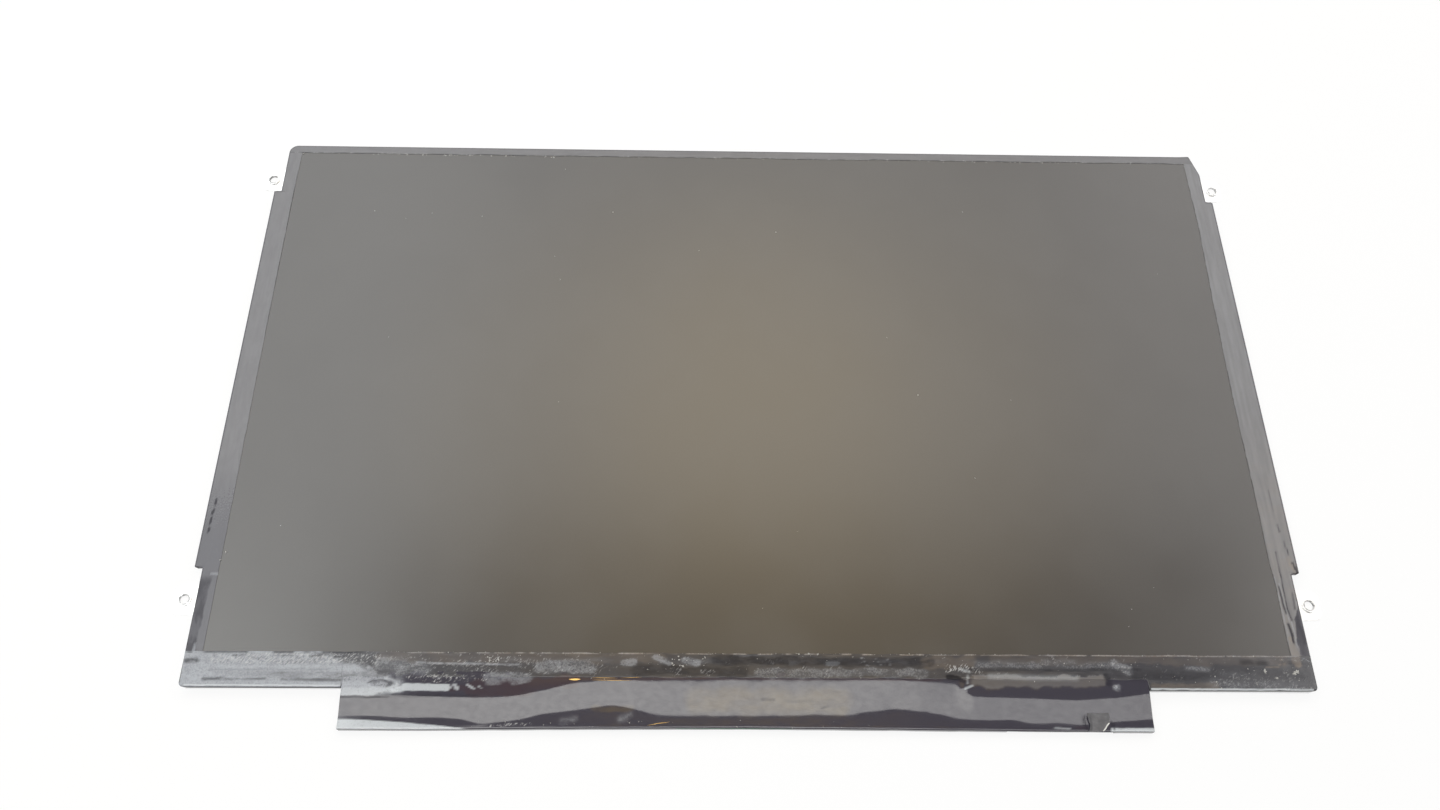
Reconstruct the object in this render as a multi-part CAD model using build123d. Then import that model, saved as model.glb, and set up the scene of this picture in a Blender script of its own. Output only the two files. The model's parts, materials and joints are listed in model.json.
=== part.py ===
from build123d import *
import os

# Laptop screen panel: a slim edge-lit LCD module that lies on its back, screen up.
# Sizes are in millimetres. X runs along the width, Y towards the top edge, Z out of the screen.
# The origin is under the middle of the whole outline, on the plane of the rear face.

# Body and flap
body_width = 290.3
body_height = 170.5
corner_radius = 2.6  # top left
bottom_corner_radius = 1.0
slant_radius = 0.8  # both ends of the slant at the top right
slant_width = 2.2  # the top right corner is cut back this far along the top edge
slant_height = 7.0  # and this far down the right edge
flap_drop = 10.3  # how far the covered control board stands below the body
flap_left_margin = 40.9  # body's left edge to the flap's left edge
flap_right_margin = 43.7

# Fits
fit = 0.05  # moulded frame in the steel pan
sheet_clearance = 0.2  # loose sheets in the frame
glass_clearance = 0.3  # glass cell in the frame

# Rear chassis
steel = 0.3
chassis_wall = 2.2
bead_width = 3.0
bead_depth = 0.15
bead_inset = 16.0
bead_bars = 2
bead_radius = 6.0

# Mounting ears
ear_hole_span = 299.0
ear_hole_top = 11.25  # upper hole below the body's top edge
ear_hole_bottom = 23.15  # lower hole above the body's bottom edge
ear_hole_diameter = 2.5
ear_width = 8.0
ear_end = 2.9  # hole centre to the ear's outer end
ear_radius = 2.0
collar_wall = 0.5
collar_height = 0.4

# Snap windows in the chassis walls and the frame's nubs in them
snap_width = 6.0
snap_height = 0.7
snap_low = 0.9
snap_side_pitch = 90.0
snap_top_pitch = 92.0
snap_recess = 0.06

# Guide frame
wing_width = 2.15  # the rim is wider between the ears
wing_top_gap = 6.45  # upper ear hole to the wing's upper end
wing_bottom_gap = 7.9  # lower ear hole to the wing's lower end
wing_radius = 0.7
ledge_thickness = 0.2
ledge_reach = 2.4  # how far the ledge reaches under the glass at the sides and the top
ledge_reach_bottom = 7.5

# Light path, from the rear forwards
sheet_side_margin = 3.75  # body's edge to the sheets' edge
sheet_top_margin = 2.3
guide_bottom_margin = 5.65
sheet_bottom_step = 0.4  # optical sheets end this far above the light guide's lower edge
reflector = 0.2
light_guide = 0.6
diffuser = 0.12
prism = 0.15
stack_clearance = 0.06
sheet_tab_width = 8.0
sheet_tab_height = 0.9
sheet_tab_pitch = 200.0

# Backlight
flex = 0.12
strip_end_margin = 5.0  # sheets' edge to the strip's end
strip_depth = 3.6
led_count = 36
led_end_margin = 3.4  # strip's end to the middle of the last LED
led_width = 3.8
led_depth = 1.2
led_height = 0.7
led_gap = 0.15
tail_left_margin = 45.0  # board's left end to the middle of the tail
tail_width = 7.0
tail_clearance = 0.4

# Glass cell
glass_side_margin = 3.35
glass_top_margin = 1.85
glass_bottom_margin = 2.35
glass = 0.4
bond_ledge = 5.5  # strip of the rear glass that the driver films are bonded to
polarizer = 0.18
polarizer_inset = 0.6
cell_tape = 0.1
cell_tape_width = 2.0

# Driver films and chips
driver_left_margin = 11.8  # flap's left edge to the left film
driver_right_margin = 8.0
driver_width = 38.0
driver_film = 0.08
driver_bond = 2.2
driver_bend = 1.5
driver_slot_room = 0.3  # frame's slot for the films, wider than the flap
chip_length = 17.0
chip_width = 1.4
chip_height = 0.3
chip_edge = 0.4  # body's bottom face to the chip
chip_room = 0.15

# Control board
board = 0.8
board_rear_z = 1.45
board_gap = 1.1  # body's bottom wall to the board
board_end_margin = 1.2
board_radius = 1.0
edge_room = 0.4  # between the board's lower edge and the film round it

# Board components
controller_size = 6.6
controller_height = 0.85
converter_size = 4.0
converter_height = 0.8
memory_width = 4.9
memory_depth = 3.9
inductor_size = 4.2
inductor_height = 1.1
capacitor_length = 1.6
capacitor_width = 0.8
capacitor_height = 0.8
resistor_length = 1.0
resistor_width = 0.5
resistor_height = 0.35
package_edge = 0.12
component_inset = 1.3  # from the board's long edges to the rows of small components
component_room = 0.6
capacitor_count = 14
capacitor_pitch = 9.0
resistor_count = 18
resistor_pitch = 7.0
small_parts_start = 14.0  # board's left end to the first small component
memory_gap = 3.0  # timing controller to the memory
driver_gap = 14.0  # backlight connector to the middle of its driver chip
converter_gap = 22.0  # middle of the power converter to the video connector

# Video connector on the rear of the board, mouth towards the lower edge
connector_right_margin = 10.8  # connector to the board's right end
connector_contacts = 40
connector_pitch = 0.5
connector_end_wall = 1.5
connector_depth = 4.2
connector_height = 1.0
connector_wall = 0.2
connector_mouth_depth = 3.0
contact_width = 0.22
contact_thickness = 0.12
contact_tail = 0.6
shell = 0.1
shell_foot = 0.9
window_margin = 1.2

# Backlight connector on the rear of the board, mouth towards the body
plug_width = 9.4
plug_depth = 3.2
plug_height = 0.9
plug_slot_depth = 1.8
plug_slot_room = 0.04
latch_depth = 0.8
latch_height = 0.3

# Tapes and films
tape = 0.09
left_tape_width = 4.15  # from the body's edge inwards
right_tape_width = 5.65
top_tape_width = 2.75
lower_tape_width = 8.9
lower_tape_skirt = 1.5
lower_tape_cut = 2.6  # the tape stops this far above the bottom edge along the flap
cover_film = 0.1
cover_overlap = 1.5  # film tucked under the lower tape
cover_flat = 4.5  # flat run of the film at the flap's lower edge
cover_room = 0.05
cover_rear_z = 0.08
patch_right_margin = 11.2  # patch to the flap's right edge
patch_width = 5.6
patch_inset = 0.3  # from the film's bend to the patch's upper edge
patch_thickness = 0.08

# Places worked out from the sizes above
half_width = body_width / 2
top_y = (body_height + flap_drop) / 2
bottom_y = top_y - body_height
flap_low_y = bottom_y - flap_drop
flap_x = (-half_width + flap_left_margin, half_width - flap_right_margin)
ear_rows = (top_y - ear_hole_top, bottom_y + ear_hole_bottom)
wing_y = (ear_rows[1] + wing_bottom_gap, ear_rows[0] - wing_top_gap)

reflector_z = steel + bead_depth
guide_z = reflector_z + reflector
lower_diffuser_z = guide_z + light_guide
lower_prism_z = lower_diffuser_z + diffuser
upper_prism_z = lower_prism_z + prism
upper_diffuser_z = upper_prism_z + prism
ledge_z = upper_diffuser_z + diffuser + stack_clearance
cell_tape_z = ledge_z + ledge_thickness
rear_polarizer_z = cell_tape_z + cell_tape
tft_z = rear_polarizer_z + polarizer
filter_z = tft_z + glass
front_polarizer_z = filter_z + glass
screen_z = front_polarizer_z + polarizer
front_z = screen_z + tape

sheet_half = half_width - sheet_side_margin
strip_half = sheet_half - strip_end_margin
sheet_top_y = top_y - sheet_top_margin
guide_low_y = bottom_y + guide_bottom_margin
strip_top_y = guide_low_y - led_gap
strip_low_y = strip_top_y - strip_depth
bay_low_y = strip_low_y - sheet_clearance

glass_half = half_width - glass_side_margin
glass_top_y = top_y - glass_top_margin
tft_low_y = bottom_y + glass_bottom_margin
filter_low_y = tft_low_y + bond_ledge

board_z = board_rear_z + board
board_top_y = bottom_y - board_gap
board_low_y = flap_low_y + cover_film + edge_room
board_x = (flap_x[0] + board_end_margin, flap_x[1] - board_end_margin)
driver_left_x = flap_x[0] + driver_left_margin + driver_width / 2
driver_right_x = flap_x[1] - driver_right_margin - driver_width / 2
driver_places = (driver_left_x, (driver_left_x + driver_right_x) / 2, driver_right_x)
cover_board_z = board_z + driver_film + cover_room
connector_half = connector_contacts * connector_pitch / 2 + connector_end_wall
connector_x = board_x[1] - connector_right_margin - connector_half
tail_x = board_x[0] + tail_left_margin
controller_x = sum(board_x) / 2
memory_x = controller_x + (controller_size + memory_width) / 2 + memory_gap
driver_x = tail_x + plug_width / 2 + driver_gap
converter_x = connector_x - connector_half - converter_gap
plug_top_y = board_top_y - component_inset / 2
plug_slot_z = board_rear_z - plug_height / 2
inductor_step = (converter_size + inductor_size) / 2 + component_room
inductor_places = (driver_x - inductor_step, converter_x + inductor_step)
large_parts = [(controller_x, controller_size), (memory_x, memory_width), (tail_x, plug_width)]
large_parts += [(x, converter_size) for x in (driver_x, converter_x)]
large_parts += [(x, inductor_size) for x in inductor_places]


def slab(x0, x1, y0, y1, z0, z1):
    """Box between two opposite corners."""
    return Pos((x0 + x1) / 2, (y0 + y1) / 2, (z0 + z1) / 2) * Box(x1 - x0, y1 - y0, z1 - z0)


def plate(face, z, thickness):
    """Flat outline given a thickness upwards from a height."""
    return Pos(0, 0, z) * extrude(face, thickness, dir=(0, 0, 1))


def field(x0, x1, y0, y1, radius=0.0):
    """Rectangle in plan, with rounded corners if a radius is given."""
    shape = Rectangle(x1 - x0, y1 - y0)
    if radius > 0:
        shape = RectangleRounded(x1 - x0, y1 - y0, radius)
    return Pos((x0 + x1) / 2, (y0 + y1) / 2) * shape


def section(edges, x0, x1):
    """Closed section in Y and Z carried along X."""
    return extrude(Plane.YZ.offset(x0) * make_face(edges), x1 - x0, dir=(1, 0, 0))


def bent_film(levels, stations, thickness, x0, x1):
    """Film that lies flat at one height, eases over in an S and lies flat at another."""
    start, bend_start, bend_end, end = stations
    first = Line((start, levels[0]), (bend_start, levels[0]))
    ease = Spline((bend_start, levels[0]), (bend_end, levels[1]), tangents=((-1, 0), (-1, 0)))
    last = Line((bend_end, levels[1]), (end, levels[1]))
    under = [first, ease, last]
    over = [Pos(0, thickness) * edge for edge in under]
    ends = [Line((y, z), (y, z + thickness)) for y, z in ((start, levels[0]), (end, levels[1]))]
    return section(under + over + ends, x0, x1)


def body_outline(inset=0.0):
    """Body in plan: rounded corners, with the top right one cut on a slant."""
    corners = {
        (-half_width, bottom_y): bottom_corner_radius,
        (half_width, bottom_y): bottom_corner_radius,
        (half_width, top_y - slant_height): slant_radius,
        (half_width - slant_width, top_y): slant_radius,
        (-half_width, top_y): corner_radius,
    }
    outline = make_face(Polyline(*corners, close=True))
    for (x, y), radius in corners.items():
        outline = fillet(outline.vertices().sort_by_distance((x, y, 0))[0], radius)
    if inset > 0:
        outline = offset(outline, -inset)
    return outline


def wing_outline():
    """Body in plan with the rim's two wings between the ears."""
    reach = half_width + wing_width
    wings = field(-reach, reach, wing_y[0], wing_y[1], wing_radius)
    return body_outline() + wings


def snaps(width, height_low, height_high, inner, outer):
    """One block in each chassis wall at every snap, between two depths from the outer face."""
    blocks = []
    for side in (-1, 1):
        for step in (-0.5, 0.5):
            y = (top_y + bottom_y) / 2 + step * snap_side_pitch
            xs = sorted((side * (half_width - inner), side * (half_width - outer)))
            blocks.append(slab(*xs, y - width / 2, y + width / 2, height_low, height_high))
    for step in (-1, 0, 1):
        x = step * snap_top_pitch
        ys = (top_y - inner, top_y - outer)
        blocks.append(slab(x - width / 2, x + width / 2, *ys, height_low, height_high))
    return blocks


def tail_passage():
    """Way for the backlight's tail out through the bottom wall of the frame and the pan."""
    half = tail_width / 2 + tail_clearance
    high = steel + flex + tail_clearance
    return slab(tail_x - half, tail_x + half, bottom_y - fit, bay_low_y + fit, steel, high)


def bead_outline(grow):
    """Stiffening bead in plan: a rounded ring crossed by upright bars."""
    x = half_width - bead_inset
    y = (bottom_y + bead_inset, top_y - bead_inset)
    half = bead_width / 2 + grow
    ring = field(-x - half, x + half, y[0] - half, y[1] + half, bead_radius + half)
    ring -= field(-x + half, x - half, y[0] + half, y[1] - half, bead_radius - half)
    for bar in range(bead_bars):
        place = -x + 2 * x * (bar + 1) / (bead_bars + 1)
        ring += field(place - half, place + half, y[0], y[1])
    return ring


def ear(side, y):
    """Mounting ear: a tab of the pan's base with a drawn collar round its hole."""
    hole_x = side * ear_hole_span / 2
    xs = sorted((side * (half_width - corner_radius), hole_x + side * ear_end))
    tab = plate(field(*xs, y - ear_width / 2, y + ear_width / 2, ear_radius), 0, steel)
    collar_radius = ear_hole_diameter / 2 + collar_wall
    return tab + Pos(hole_x, y) * plate(Circle(collar_radius), 0, steel + collar_height)


def rear_chassis():
    """Stamped steel pan: base, folded walls, beads pressed inwards, snap windows and ears."""
    pan = plate(body_outline(), 0, chassis_wall)
    pan -= plate(body_outline(steel), steel, chassis_wall)
    pan += plate(bead_outline(steel), steel, bead_depth)
    pan -= plate(bead_outline(0), 0, bead_depth)
    for window in snaps(snap_width, snap_low, snap_low + snap_height, 2 * steel, -steel):
        pan -= window
    pan -= tail_passage()
    hole = plate(Circle(ear_hole_diameter / 2), -steel, chassis_wall)
    for side in (-1, 1):
        for y in ear_rows:
            pan += ear(side, y)
            pan -= Pos(side * ear_hole_span / 2, y) * hole
    return pan


def guide_frame():
    """Moulded ring: a leg round the sheets, a ledge under the glass and a rim round it."""
    seat = steel + fit
    frame = plate(body_outline(seat), steel, chassis_wall + fit - steel)
    frame += plate(wing_outline(), chassis_wall + fit, screen_z - chassis_wall - fit)
    frame -= plate(sheet_bay(), steel, ledge_z - steel)
    frame -= plate(ledge_opening(), ledge_z, ledge_thickness)
    frame -= plate(glass_bay(), cell_tape_z, front_z)
    slot_x = (flap_x[0] - driver_slot_room, flap_x[1] + driver_slot_room)
    frame -= slab(*slot_x, bottom_y - fit, tft_low_y, filter_z - fit, front_z)
    for chip in chip_blocks(chip_room):
        frame -= chip
    frame -= tail_passage()
    nub_low = snap_low + fit
    nub_high = snap_low + snap_height - fit
    for nub in snaps(snap_width - 2 * fit, nub_low, nub_high, 2 * seat, snap_recess):
        frame += nub
    return frame


def sheet_tabs(grow):
    """Small tabs on the top edge that locate the sheets in the frame."""
    tabs = []
    for side in (-0.5, 0.5):
        x = side * sheet_tab_pitch
        half = sheet_tab_width / 2 + grow
        low = sheet_top_y - sheet_tab_height
        tabs.append(field(x - half, x + half, low, sheet_top_y + sheet_tab_height + grow))
    return tabs[0] + tabs[1]


def sheet_bay():
    """Opening of the frame's leg for the sheets and, below them, the backlight strip."""
    x = sheet_half + sheet_clearance
    return field(-x, x, bay_low_y, sheet_top_y + sheet_clearance) + sheet_tabs(sheet_clearance)


def glass_bay():
    """Opening of the frame's rim for the glass cell."""
    x = glass_half + glass_clearance
    return field(-x, x, tft_low_y - glass_clearance, glass_top_y + glass_clearance)


def ledge_opening():
    """Window that the ledge leaves for the light."""
    x = glass_half - ledge_reach
    return field(-x, x, tft_low_y + ledge_reach_bottom, glass_top_y - ledge_reach)


def light_sheet(z, thickness, low_y):
    """One sheet of the light path, with its two locating tabs."""
    outline = field(-sheet_half, sheet_half, low_y, sheet_top_y) + sheet_tabs(0)
    return plate(outline, z, thickness)


def led_strip_flex():
    """Backlight strip on the pan's base, with a tail that leaves under the bottom wall."""
    strip = slab(-strip_half, strip_half, strip_low_y, strip_top_y, steel, steel + flex)
    stations = (strip_low_y, bottom_y, board_top_y, plug_top_y - plug_slot_depth)
    xs = (tail_x - tail_width / 2, tail_x + tail_width / 2)
    return strip + bent_film((steel, plug_slot_z - flex / 2), stations, flex, *xs)


def backlight_leds():
    """Row of LEDs on the strip that shine into the light guide's lower edge."""
    z = steel + flex
    reach = strip_half - led_end_margin
    leds = []
    for place in range(led_count):
        x = reach * (2 * place / (led_count - 1) - 1)
        xs = (x - led_width / 2, x + led_width / 2)
        leds.append(slab(*xs, strip_top_y - led_depth, strip_top_y, z, z + led_height))
    return Compound(leds)


def cell_bonding_tape():
    """Double-sided tape on the ledge, round the window."""
    outer = offset(ledge_opening(), cell_tape_width, kind=Kind.INTERSECTION)
    return plate(outer - ledge_opening(), cell_tape_z, cell_tape)


def polarizer_sheet(z):
    """Polarizer, a little smaller than the colour filter glass."""
    x = glass_half - polarizer_inset
    outline = field(-x, x, filter_low_y + polarizer_inset, glass_top_y - polarizer_inset)
    return plate(outline, z, polarizer)


def glass_sheet(z, low_y):
    """One of the cell's two glasses."""
    return plate(field(-glass_half, glass_half, low_y, glass_top_y), z, glass)


def driver_film_at(x):
    """Driver film bonded to the rear glass, bent down to the front of the control board."""
    landing_y = board_top_y - driver_bend
    stations = (tft_low_y + driver_bond, bottom_y, landing_y, landing_y - driver_bond)
    return bent_film((filter_z, board_z), stations, driver_film, x - driver_width / 2, x + driver_width / 2)


def chip_blocks(room):
    """Block of each driver chip under its film, just inside the body's bottom edge, with room round it."""
    low = bottom_y + chip_edge
    half = chip_length / 2 + room
    z = (filter_z - chip_height - room, filter_z)
    return [slab(x - half, x + half, low - room, low + chip_width + room, *z) for x in driver_places]


def driver_chips():
    """Driver chips, one under each film."""
    return Compound(chip_blocks(0))


def control_board():
    """Circuit board below the body."""
    outline = field(*board_x, board_low_y, board_top_y, board_radius)
    return plate(outline, board_rear_z, board)


def package(x, width, depth, height):
    """Chip package under the board, midway between its long edges, with a bevelled free face."""
    y = (board_low_y + board_top_y) / 2
    z = board_rear_z - height
    body = slab(x - width / 2, x + width / 2, y - depth / 2, y + depth / 2, z, board_rear_z)
    return chamfer(body.faces().sort_by(Axis.Z)[0].edges(), package_edge)


def power_inductors():
    """Inductors of the power converter and of the backlight driver."""
    return Compound([package(x, inductor_size, inductor_size, inductor_height) for x in inductor_places])


def small_parts(count, length, width, height, y, pitch):
    """Row of small two-ended components under the board."""
    parts = []
    z = board_rear_z - height
    for place in range(count):
        x = board_x[0] + small_parts_start + place * pitch
        if any(abs(x - place) < (size + length) / 2 + component_room for place, size in large_parts):
            continue
        parts.append(slab(x - length / 2, x + length / 2, y - width / 2, y + width / 2, z, board_rear_z))
    return Compound(parts)


def connector_housing():
    """Video connector's body: a long slot that opens towards the board's lower edge."""
    x = (connector_x - connector_half, connector_x + connector_half)
    y = (board_low_y, board_low_y + connector_depth)
    z = (board_rear_z - connector_height, board_rear_z)
    mouth_x = (x[0] + connector_end_wall / 2, x[1] - connector_end_wall / 2)
    mouth_top = z[1] - connector_wall
    body = slab(*x, *y, *z)
    body -= slab(*mouth_x, y[0], y[0] + connector_mouth_depth, z[0] + connector_wall, mouth_top)
    body -= slab(*mouth_x, y[0], y[1], mouth_top - contact_thickness, mouth_top)
    return body


def connector_shell():
    """Sheet cover over the connector's rear face, with a foot on the board at each end."""
    x = (connector_x - connector_half, connector_x + connector_half)
    y = (board_low_y, board_low_y + connector_depth)
    low = board_rear_z - connector_height - shell
    cover = slab(x[0] - shell, x[1] + shell, *y, low, low + shell)
    for side, edge in ((-1, x[0]), (1, x[1])):
        wall = sorted((edge, edge + side * shell))
        foot = sorted((edge, edge + side * (shell + shell_foot)))
        cover += slab(*wall, *y, low, board_rear_z)
        cover += slab(*foot, *y, board_rear_z - shell, board_rear_z)
    return cover


def connector_contacts_group():
    """Row of contacts: a tongue in the slot and a tail soldered to the board behind it."""
    tongue_top = board_rear_z - connector_wall
    back = board_low_y + connector_depth
    contacts = []
    for place in range(connector_contacts):
        x = connector_x + (place - (connector_contacts - 1) / 2) * connector_pitch
        xs = (x - contact_width / 2, x + contact_width / 2)
        ys = (board_low_y + connector_wall, back + contact_tail)
        tongue = slab(*xs, *ys, tongue_top - contact_thickness, tongue_top)
        tail = slab(*xs, back + contact_thickness, back + contact_tail, tongue_top, board_rear_z)
        contacts.append(tongue + tail)
    return Compound(contacts)


def backlight_connector():
    """Connector that takes the backlight's tail."""
    x = (tail_x - plug_width / 2, tail_x + plug_width / 2)
    z = (board_rear_z - plug_height, board_rear_z)
    body = slab(*x, plug_top_y - plug_depth, plug_top_y, *z)
    room = flex / 2 + plug_slot_room
    half = tail_width / 2 + plug_slot_room
    slot_y = (plug_top_y - plug_slot_depth - plug_slot_room, plug_top_y)
    body -= slab(tail_x - half, tail_x + half, *slot_y, plug_slot_z - room, plug_slot_z + room)
    seat_y = plug_top_y - plug_depth
    body -= slab(*x, seat_y, seat_y + latch_depth, z[0], z[0] + latch_height)
    return body


def backlight_latch():
    """Flip latch on the far side of the backlight connector."""
    x = (tail_x - plug_width / 2, tail_x + plug_width / 2)
    low = board_rear_z - plug_height
    y = plug_top_y - plug_depth
    return slab(*x, y, y + latch_depth, low, low + latch_height)


def side_tape(side, width):
    """Black tape down one side, over the rim and the wing, in to the polarizer's edge."""
    xs = sorted((side * (half_width - width), side * (half_width + wing_width)))
    strip = field(*xs, bottom_y + lower_tape_width, top_y - top_tape_width)
    return plate(wing_outline() & strip, screen_z, tape)


def top_edge_tape():
    """Black tape along the top edge."""
    strip = field(-half_width, half_width, top_y - top_tape_width, top_y)
    return plate(body_outline() & strip, screen_z, tape)


def lower_ledge_tape():
    """Wide black tape over the driver films, turned down over the bottom wall beside the flap."""
    strip = field(-half_width, half_width, bottom_y, bottom_y + lower_tape_width)
    sheet = plate(body_outline() & strip, screen_z, tape)
    sheet -= slab(*flap_x, bottom_y - tape, bottom_y + lower_tape_cut, screen_z, front_z)
    end = half_width - bottom_corner_radius
    runs = ((-end, flap_x[0]), (flap_x[1], end))
    for xs in runs:
        sheet += slab(*xs, bottom_y - tape, bottom_y, front_z - lower_tape_skirt, front_z)
    return sheet


def board_cover_film():
    """Black film stuck under the lower tape, sloping over the board and folded round its edge."""
    start = bottom_y + lower_tape_cut + cover_overlap
    rear_end = bottom_y - tape - cover_room
    inner_low = flap_low_y + cover_film
    slope = [(bottom_y + lower_tape_cut, screen_z), (flap_low_y + cover_flat, cover_board_z + cover_film)]
    outer = [(start, screen_z), *slope, (flap_low_y, cover_board_z + cover_film)]
    outer += [(flap_low_y, cover_rear_z), (rear_end, cover_rear_z)]
    inner = [(rear_end, cover_rear_z + cover_film), (inner_low, cover_rear_z + cover_film)]
    inner += [(inner_low, cover_board_z)]
    inner += [(y, z - cover_film) for y, z in reversed(slope)]
    inner += [(start, screen_z - cover_film)]
    film = section(Polyline(*outer, *inner, close=True), *flap_x)
    half = connector_half + shell + shell_foot + window_margin
    window_top = board_low_y + connector_depth + contact_tail + window_margin
    film -= slab(connector_x - half, connector_x + half, flap_low_y, window_top, 0, board_rear_z)
    return film


def board_edge_patch():
    """Small piece of grey tape on the cover film, at the flap's lower edge."""
    z = cover_board_z + cover_film
    right = flap_x[1] - patch_right_margin
    ys = (flap_low_y, flap_low_y + cover_flat - patch_inset)
    return slab(right - patch_width, right, *ys, z, z + patch_thickness)


optical_low_y = guide_low_y + sheet_bottom_step
upper_row_y = board_top_y - component_inset
lower_row_y = board_low_y + component_inset

pieces = {
    "rear_chassis": rear_chassis(),
    "guide_frame": guide_frame(),
    "reflector_sheet": light_sheet(reflector_z, reflector, guide_low_y),
    "light_guide_plate": light_sheet(guide_z, light_guide, guide_low_y),
    "lower_diffuser": light_sheet(lower_diffuser_z, diffuser, optical_low_y),
    "lower_prism_sheet": light_sheet(lower_prism_z, prism, optical_low_y),
    "upper_prism_sheet": light_sheet(upper_prism_z, prism, optical_low_y),
    "upper_diffuser": light_sheet(upper_diffuser_z, diffuser, optical_low_y),
    "led_strip_flex": led_strip_flex(),
    "backlight_leds": backlight_leds(),
    "cell_bonding_tape": cell_bonding_tape(),
    "rear_polarizer": polarizer_sheet(rear_polarizer_z),
    "tft_glass": glass_sheet(tft_z, tft_low_y),
    "colour_filter_glass": glass_sheet(filter_z, filter_low_y),
    "front_polarizer": polarizer_sheet(front_polarizer_z),
    "driver_chips": driver_chips(),
    "control_board": control_board(),
    "timing_controller": package(controller_x, controller_size, controller_size, controller_height),
    "backlight_driver": package(driver_x, converter_size, converter_size, converter_height),
    "power_converter": package(converter_x, converter_size, converter_size, converter_height),
    "settings_memory": package(memory_x, memory_width, memory_depth, converter_height),
    "power_inductors": power_inductors(),
    "board_capacitors": small_parts(
        capacitor_count, capacitor_length, capacitor_width, capacitor_height, upper_row_y, capacitor_pitch),
    "board_resistors": small_parts(
        resistor_count, resistor_length, resistor_width, resistor_height, lower_row_y, resistor_pitch),
    "video_connector_housing": connector_housing(),
    "video_connector_shell": connector_shell(),
    "video_connector_contacts": connector_contacts_group(),
    "backlight_connector": backlight_connector(),
    "backlight_connector_latch": backlight_latch(),
    "left_side_tape": side_tape(-1, left_tape_width),
    "right_side_tape": side_tape(1, right_tape_width),
    "top_edge_tape": top_edge_tape(),
    "lower_ledge_tape": lower_ledge_tape(),
    "board_cover_film": board_cover_film(),
    "board_edge_patch": board_edge_patch(),
}
for name, x in zip(("left", "middle", "right"), driver_places):
    pieces["driver_film_" + name] = driver_film_at(x)

os.makedirs("parts", exist_ok=True)
for name, piece in pieces.items():
    export_step(piece, "parts/" + name + ".step")
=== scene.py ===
"""Laptop screen panel: worn tapes, flap film, dust and finishes over the solid model, on a plain stage."""

import json
import math

import bpy
import numpy as np
from bpy.props import FloatProperty, FloatVectorProperty, PointerProperty
from mathutils import Matrix, Vector


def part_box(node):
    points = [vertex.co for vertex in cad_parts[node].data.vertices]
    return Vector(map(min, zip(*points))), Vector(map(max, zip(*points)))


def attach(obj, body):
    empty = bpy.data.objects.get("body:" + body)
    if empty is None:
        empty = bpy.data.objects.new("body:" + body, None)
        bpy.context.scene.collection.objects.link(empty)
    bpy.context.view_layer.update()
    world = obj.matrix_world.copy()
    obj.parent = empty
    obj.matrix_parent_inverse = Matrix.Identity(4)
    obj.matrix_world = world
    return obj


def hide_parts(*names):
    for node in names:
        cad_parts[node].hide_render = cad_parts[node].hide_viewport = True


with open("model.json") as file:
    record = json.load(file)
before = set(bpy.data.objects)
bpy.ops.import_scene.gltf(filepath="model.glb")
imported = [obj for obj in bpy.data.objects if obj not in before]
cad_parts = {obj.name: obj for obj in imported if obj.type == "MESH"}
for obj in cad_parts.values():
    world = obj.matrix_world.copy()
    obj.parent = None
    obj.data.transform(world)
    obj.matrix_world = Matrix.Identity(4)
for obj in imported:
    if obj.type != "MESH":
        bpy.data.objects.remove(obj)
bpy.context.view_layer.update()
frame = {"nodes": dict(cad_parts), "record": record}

bl_info = {
    "name": "Laptop Screen Panel",
    "version": (1, 0, 0),
    "blender": (4, 5, 0),
    "location": "View3D > Sidebar > Screen Panel",
    "description": "Dresses the solid model of a laptop screen panel",
    "category": "Object",
}

MM = 0.001


def box_mm(node):
    """Lowest and highest corner of a solid, in millimetres."""
    low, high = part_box(node)
    return np.array(low) / MM, np.array(high) / MM


FRAME_LOW, FRAME_HIGH = box_mm("guide_frame")
TAPE_HIGH = box_mm("lower_ledge_tape")[1]
FILM_LOW, FILM_HIGH = box_mm("board_cover_film")
PATCH_LOW, PATCH_HIGH = box_mm("board_edge_patch")
SHELL_LOW, SHELL_HIGH = box_mm("video_connector_shell")
BOARD_LOW, BOARD_HIGH = box_mm("control_board")
LEFT_LOW, LEFT_HIGH = box_mm("left_side_tape")
RIGHT_LOW, RIGHT_HIGH = box_mm("right_side_tape")
TOP_LOW, TOP_HIGH = box_mm("top_edge_tape")

HALF = TAPE_HIGH[0]
TOP_Y = TOP_HIGH[1]
BOTTOM_Y = FRAME_LOW[1]
SCREEN_Z = box_mm("front_polarizer")[1][2]
FRONT_Z = TAPE_HIGH[2]
FLAP = (FILM_LOW[0], FILM_HIGH[0])
BOARD_Z = BOARD_HIGH[2]


def length(name, description, value):
    """Length property in metres with a name, a description and its default."""
    return FloatProperty(name=name, description=description, default=value, unit="LENGTH", precision=6)


def angle(name, description, degrees):
    """Angle property with a name, a description and its default in degrees."""
    return FloatProperty(name=name, description=description, default=math.radians(degrees), subtype="ANGLE")


def brightness(name, description, value):
    """Brightness property with a name, a description and its default."""
    return FloatProperty(name=name, description=description, default=value, min=0.0)


def colour(name, description, value):
    """Colour property with a name, a description and its default."""
    return FloatVectorProperty(name=name, description=description, default=value, subtype="COLOR", size=3,
                               min=0.0, max=1.0)


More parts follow.
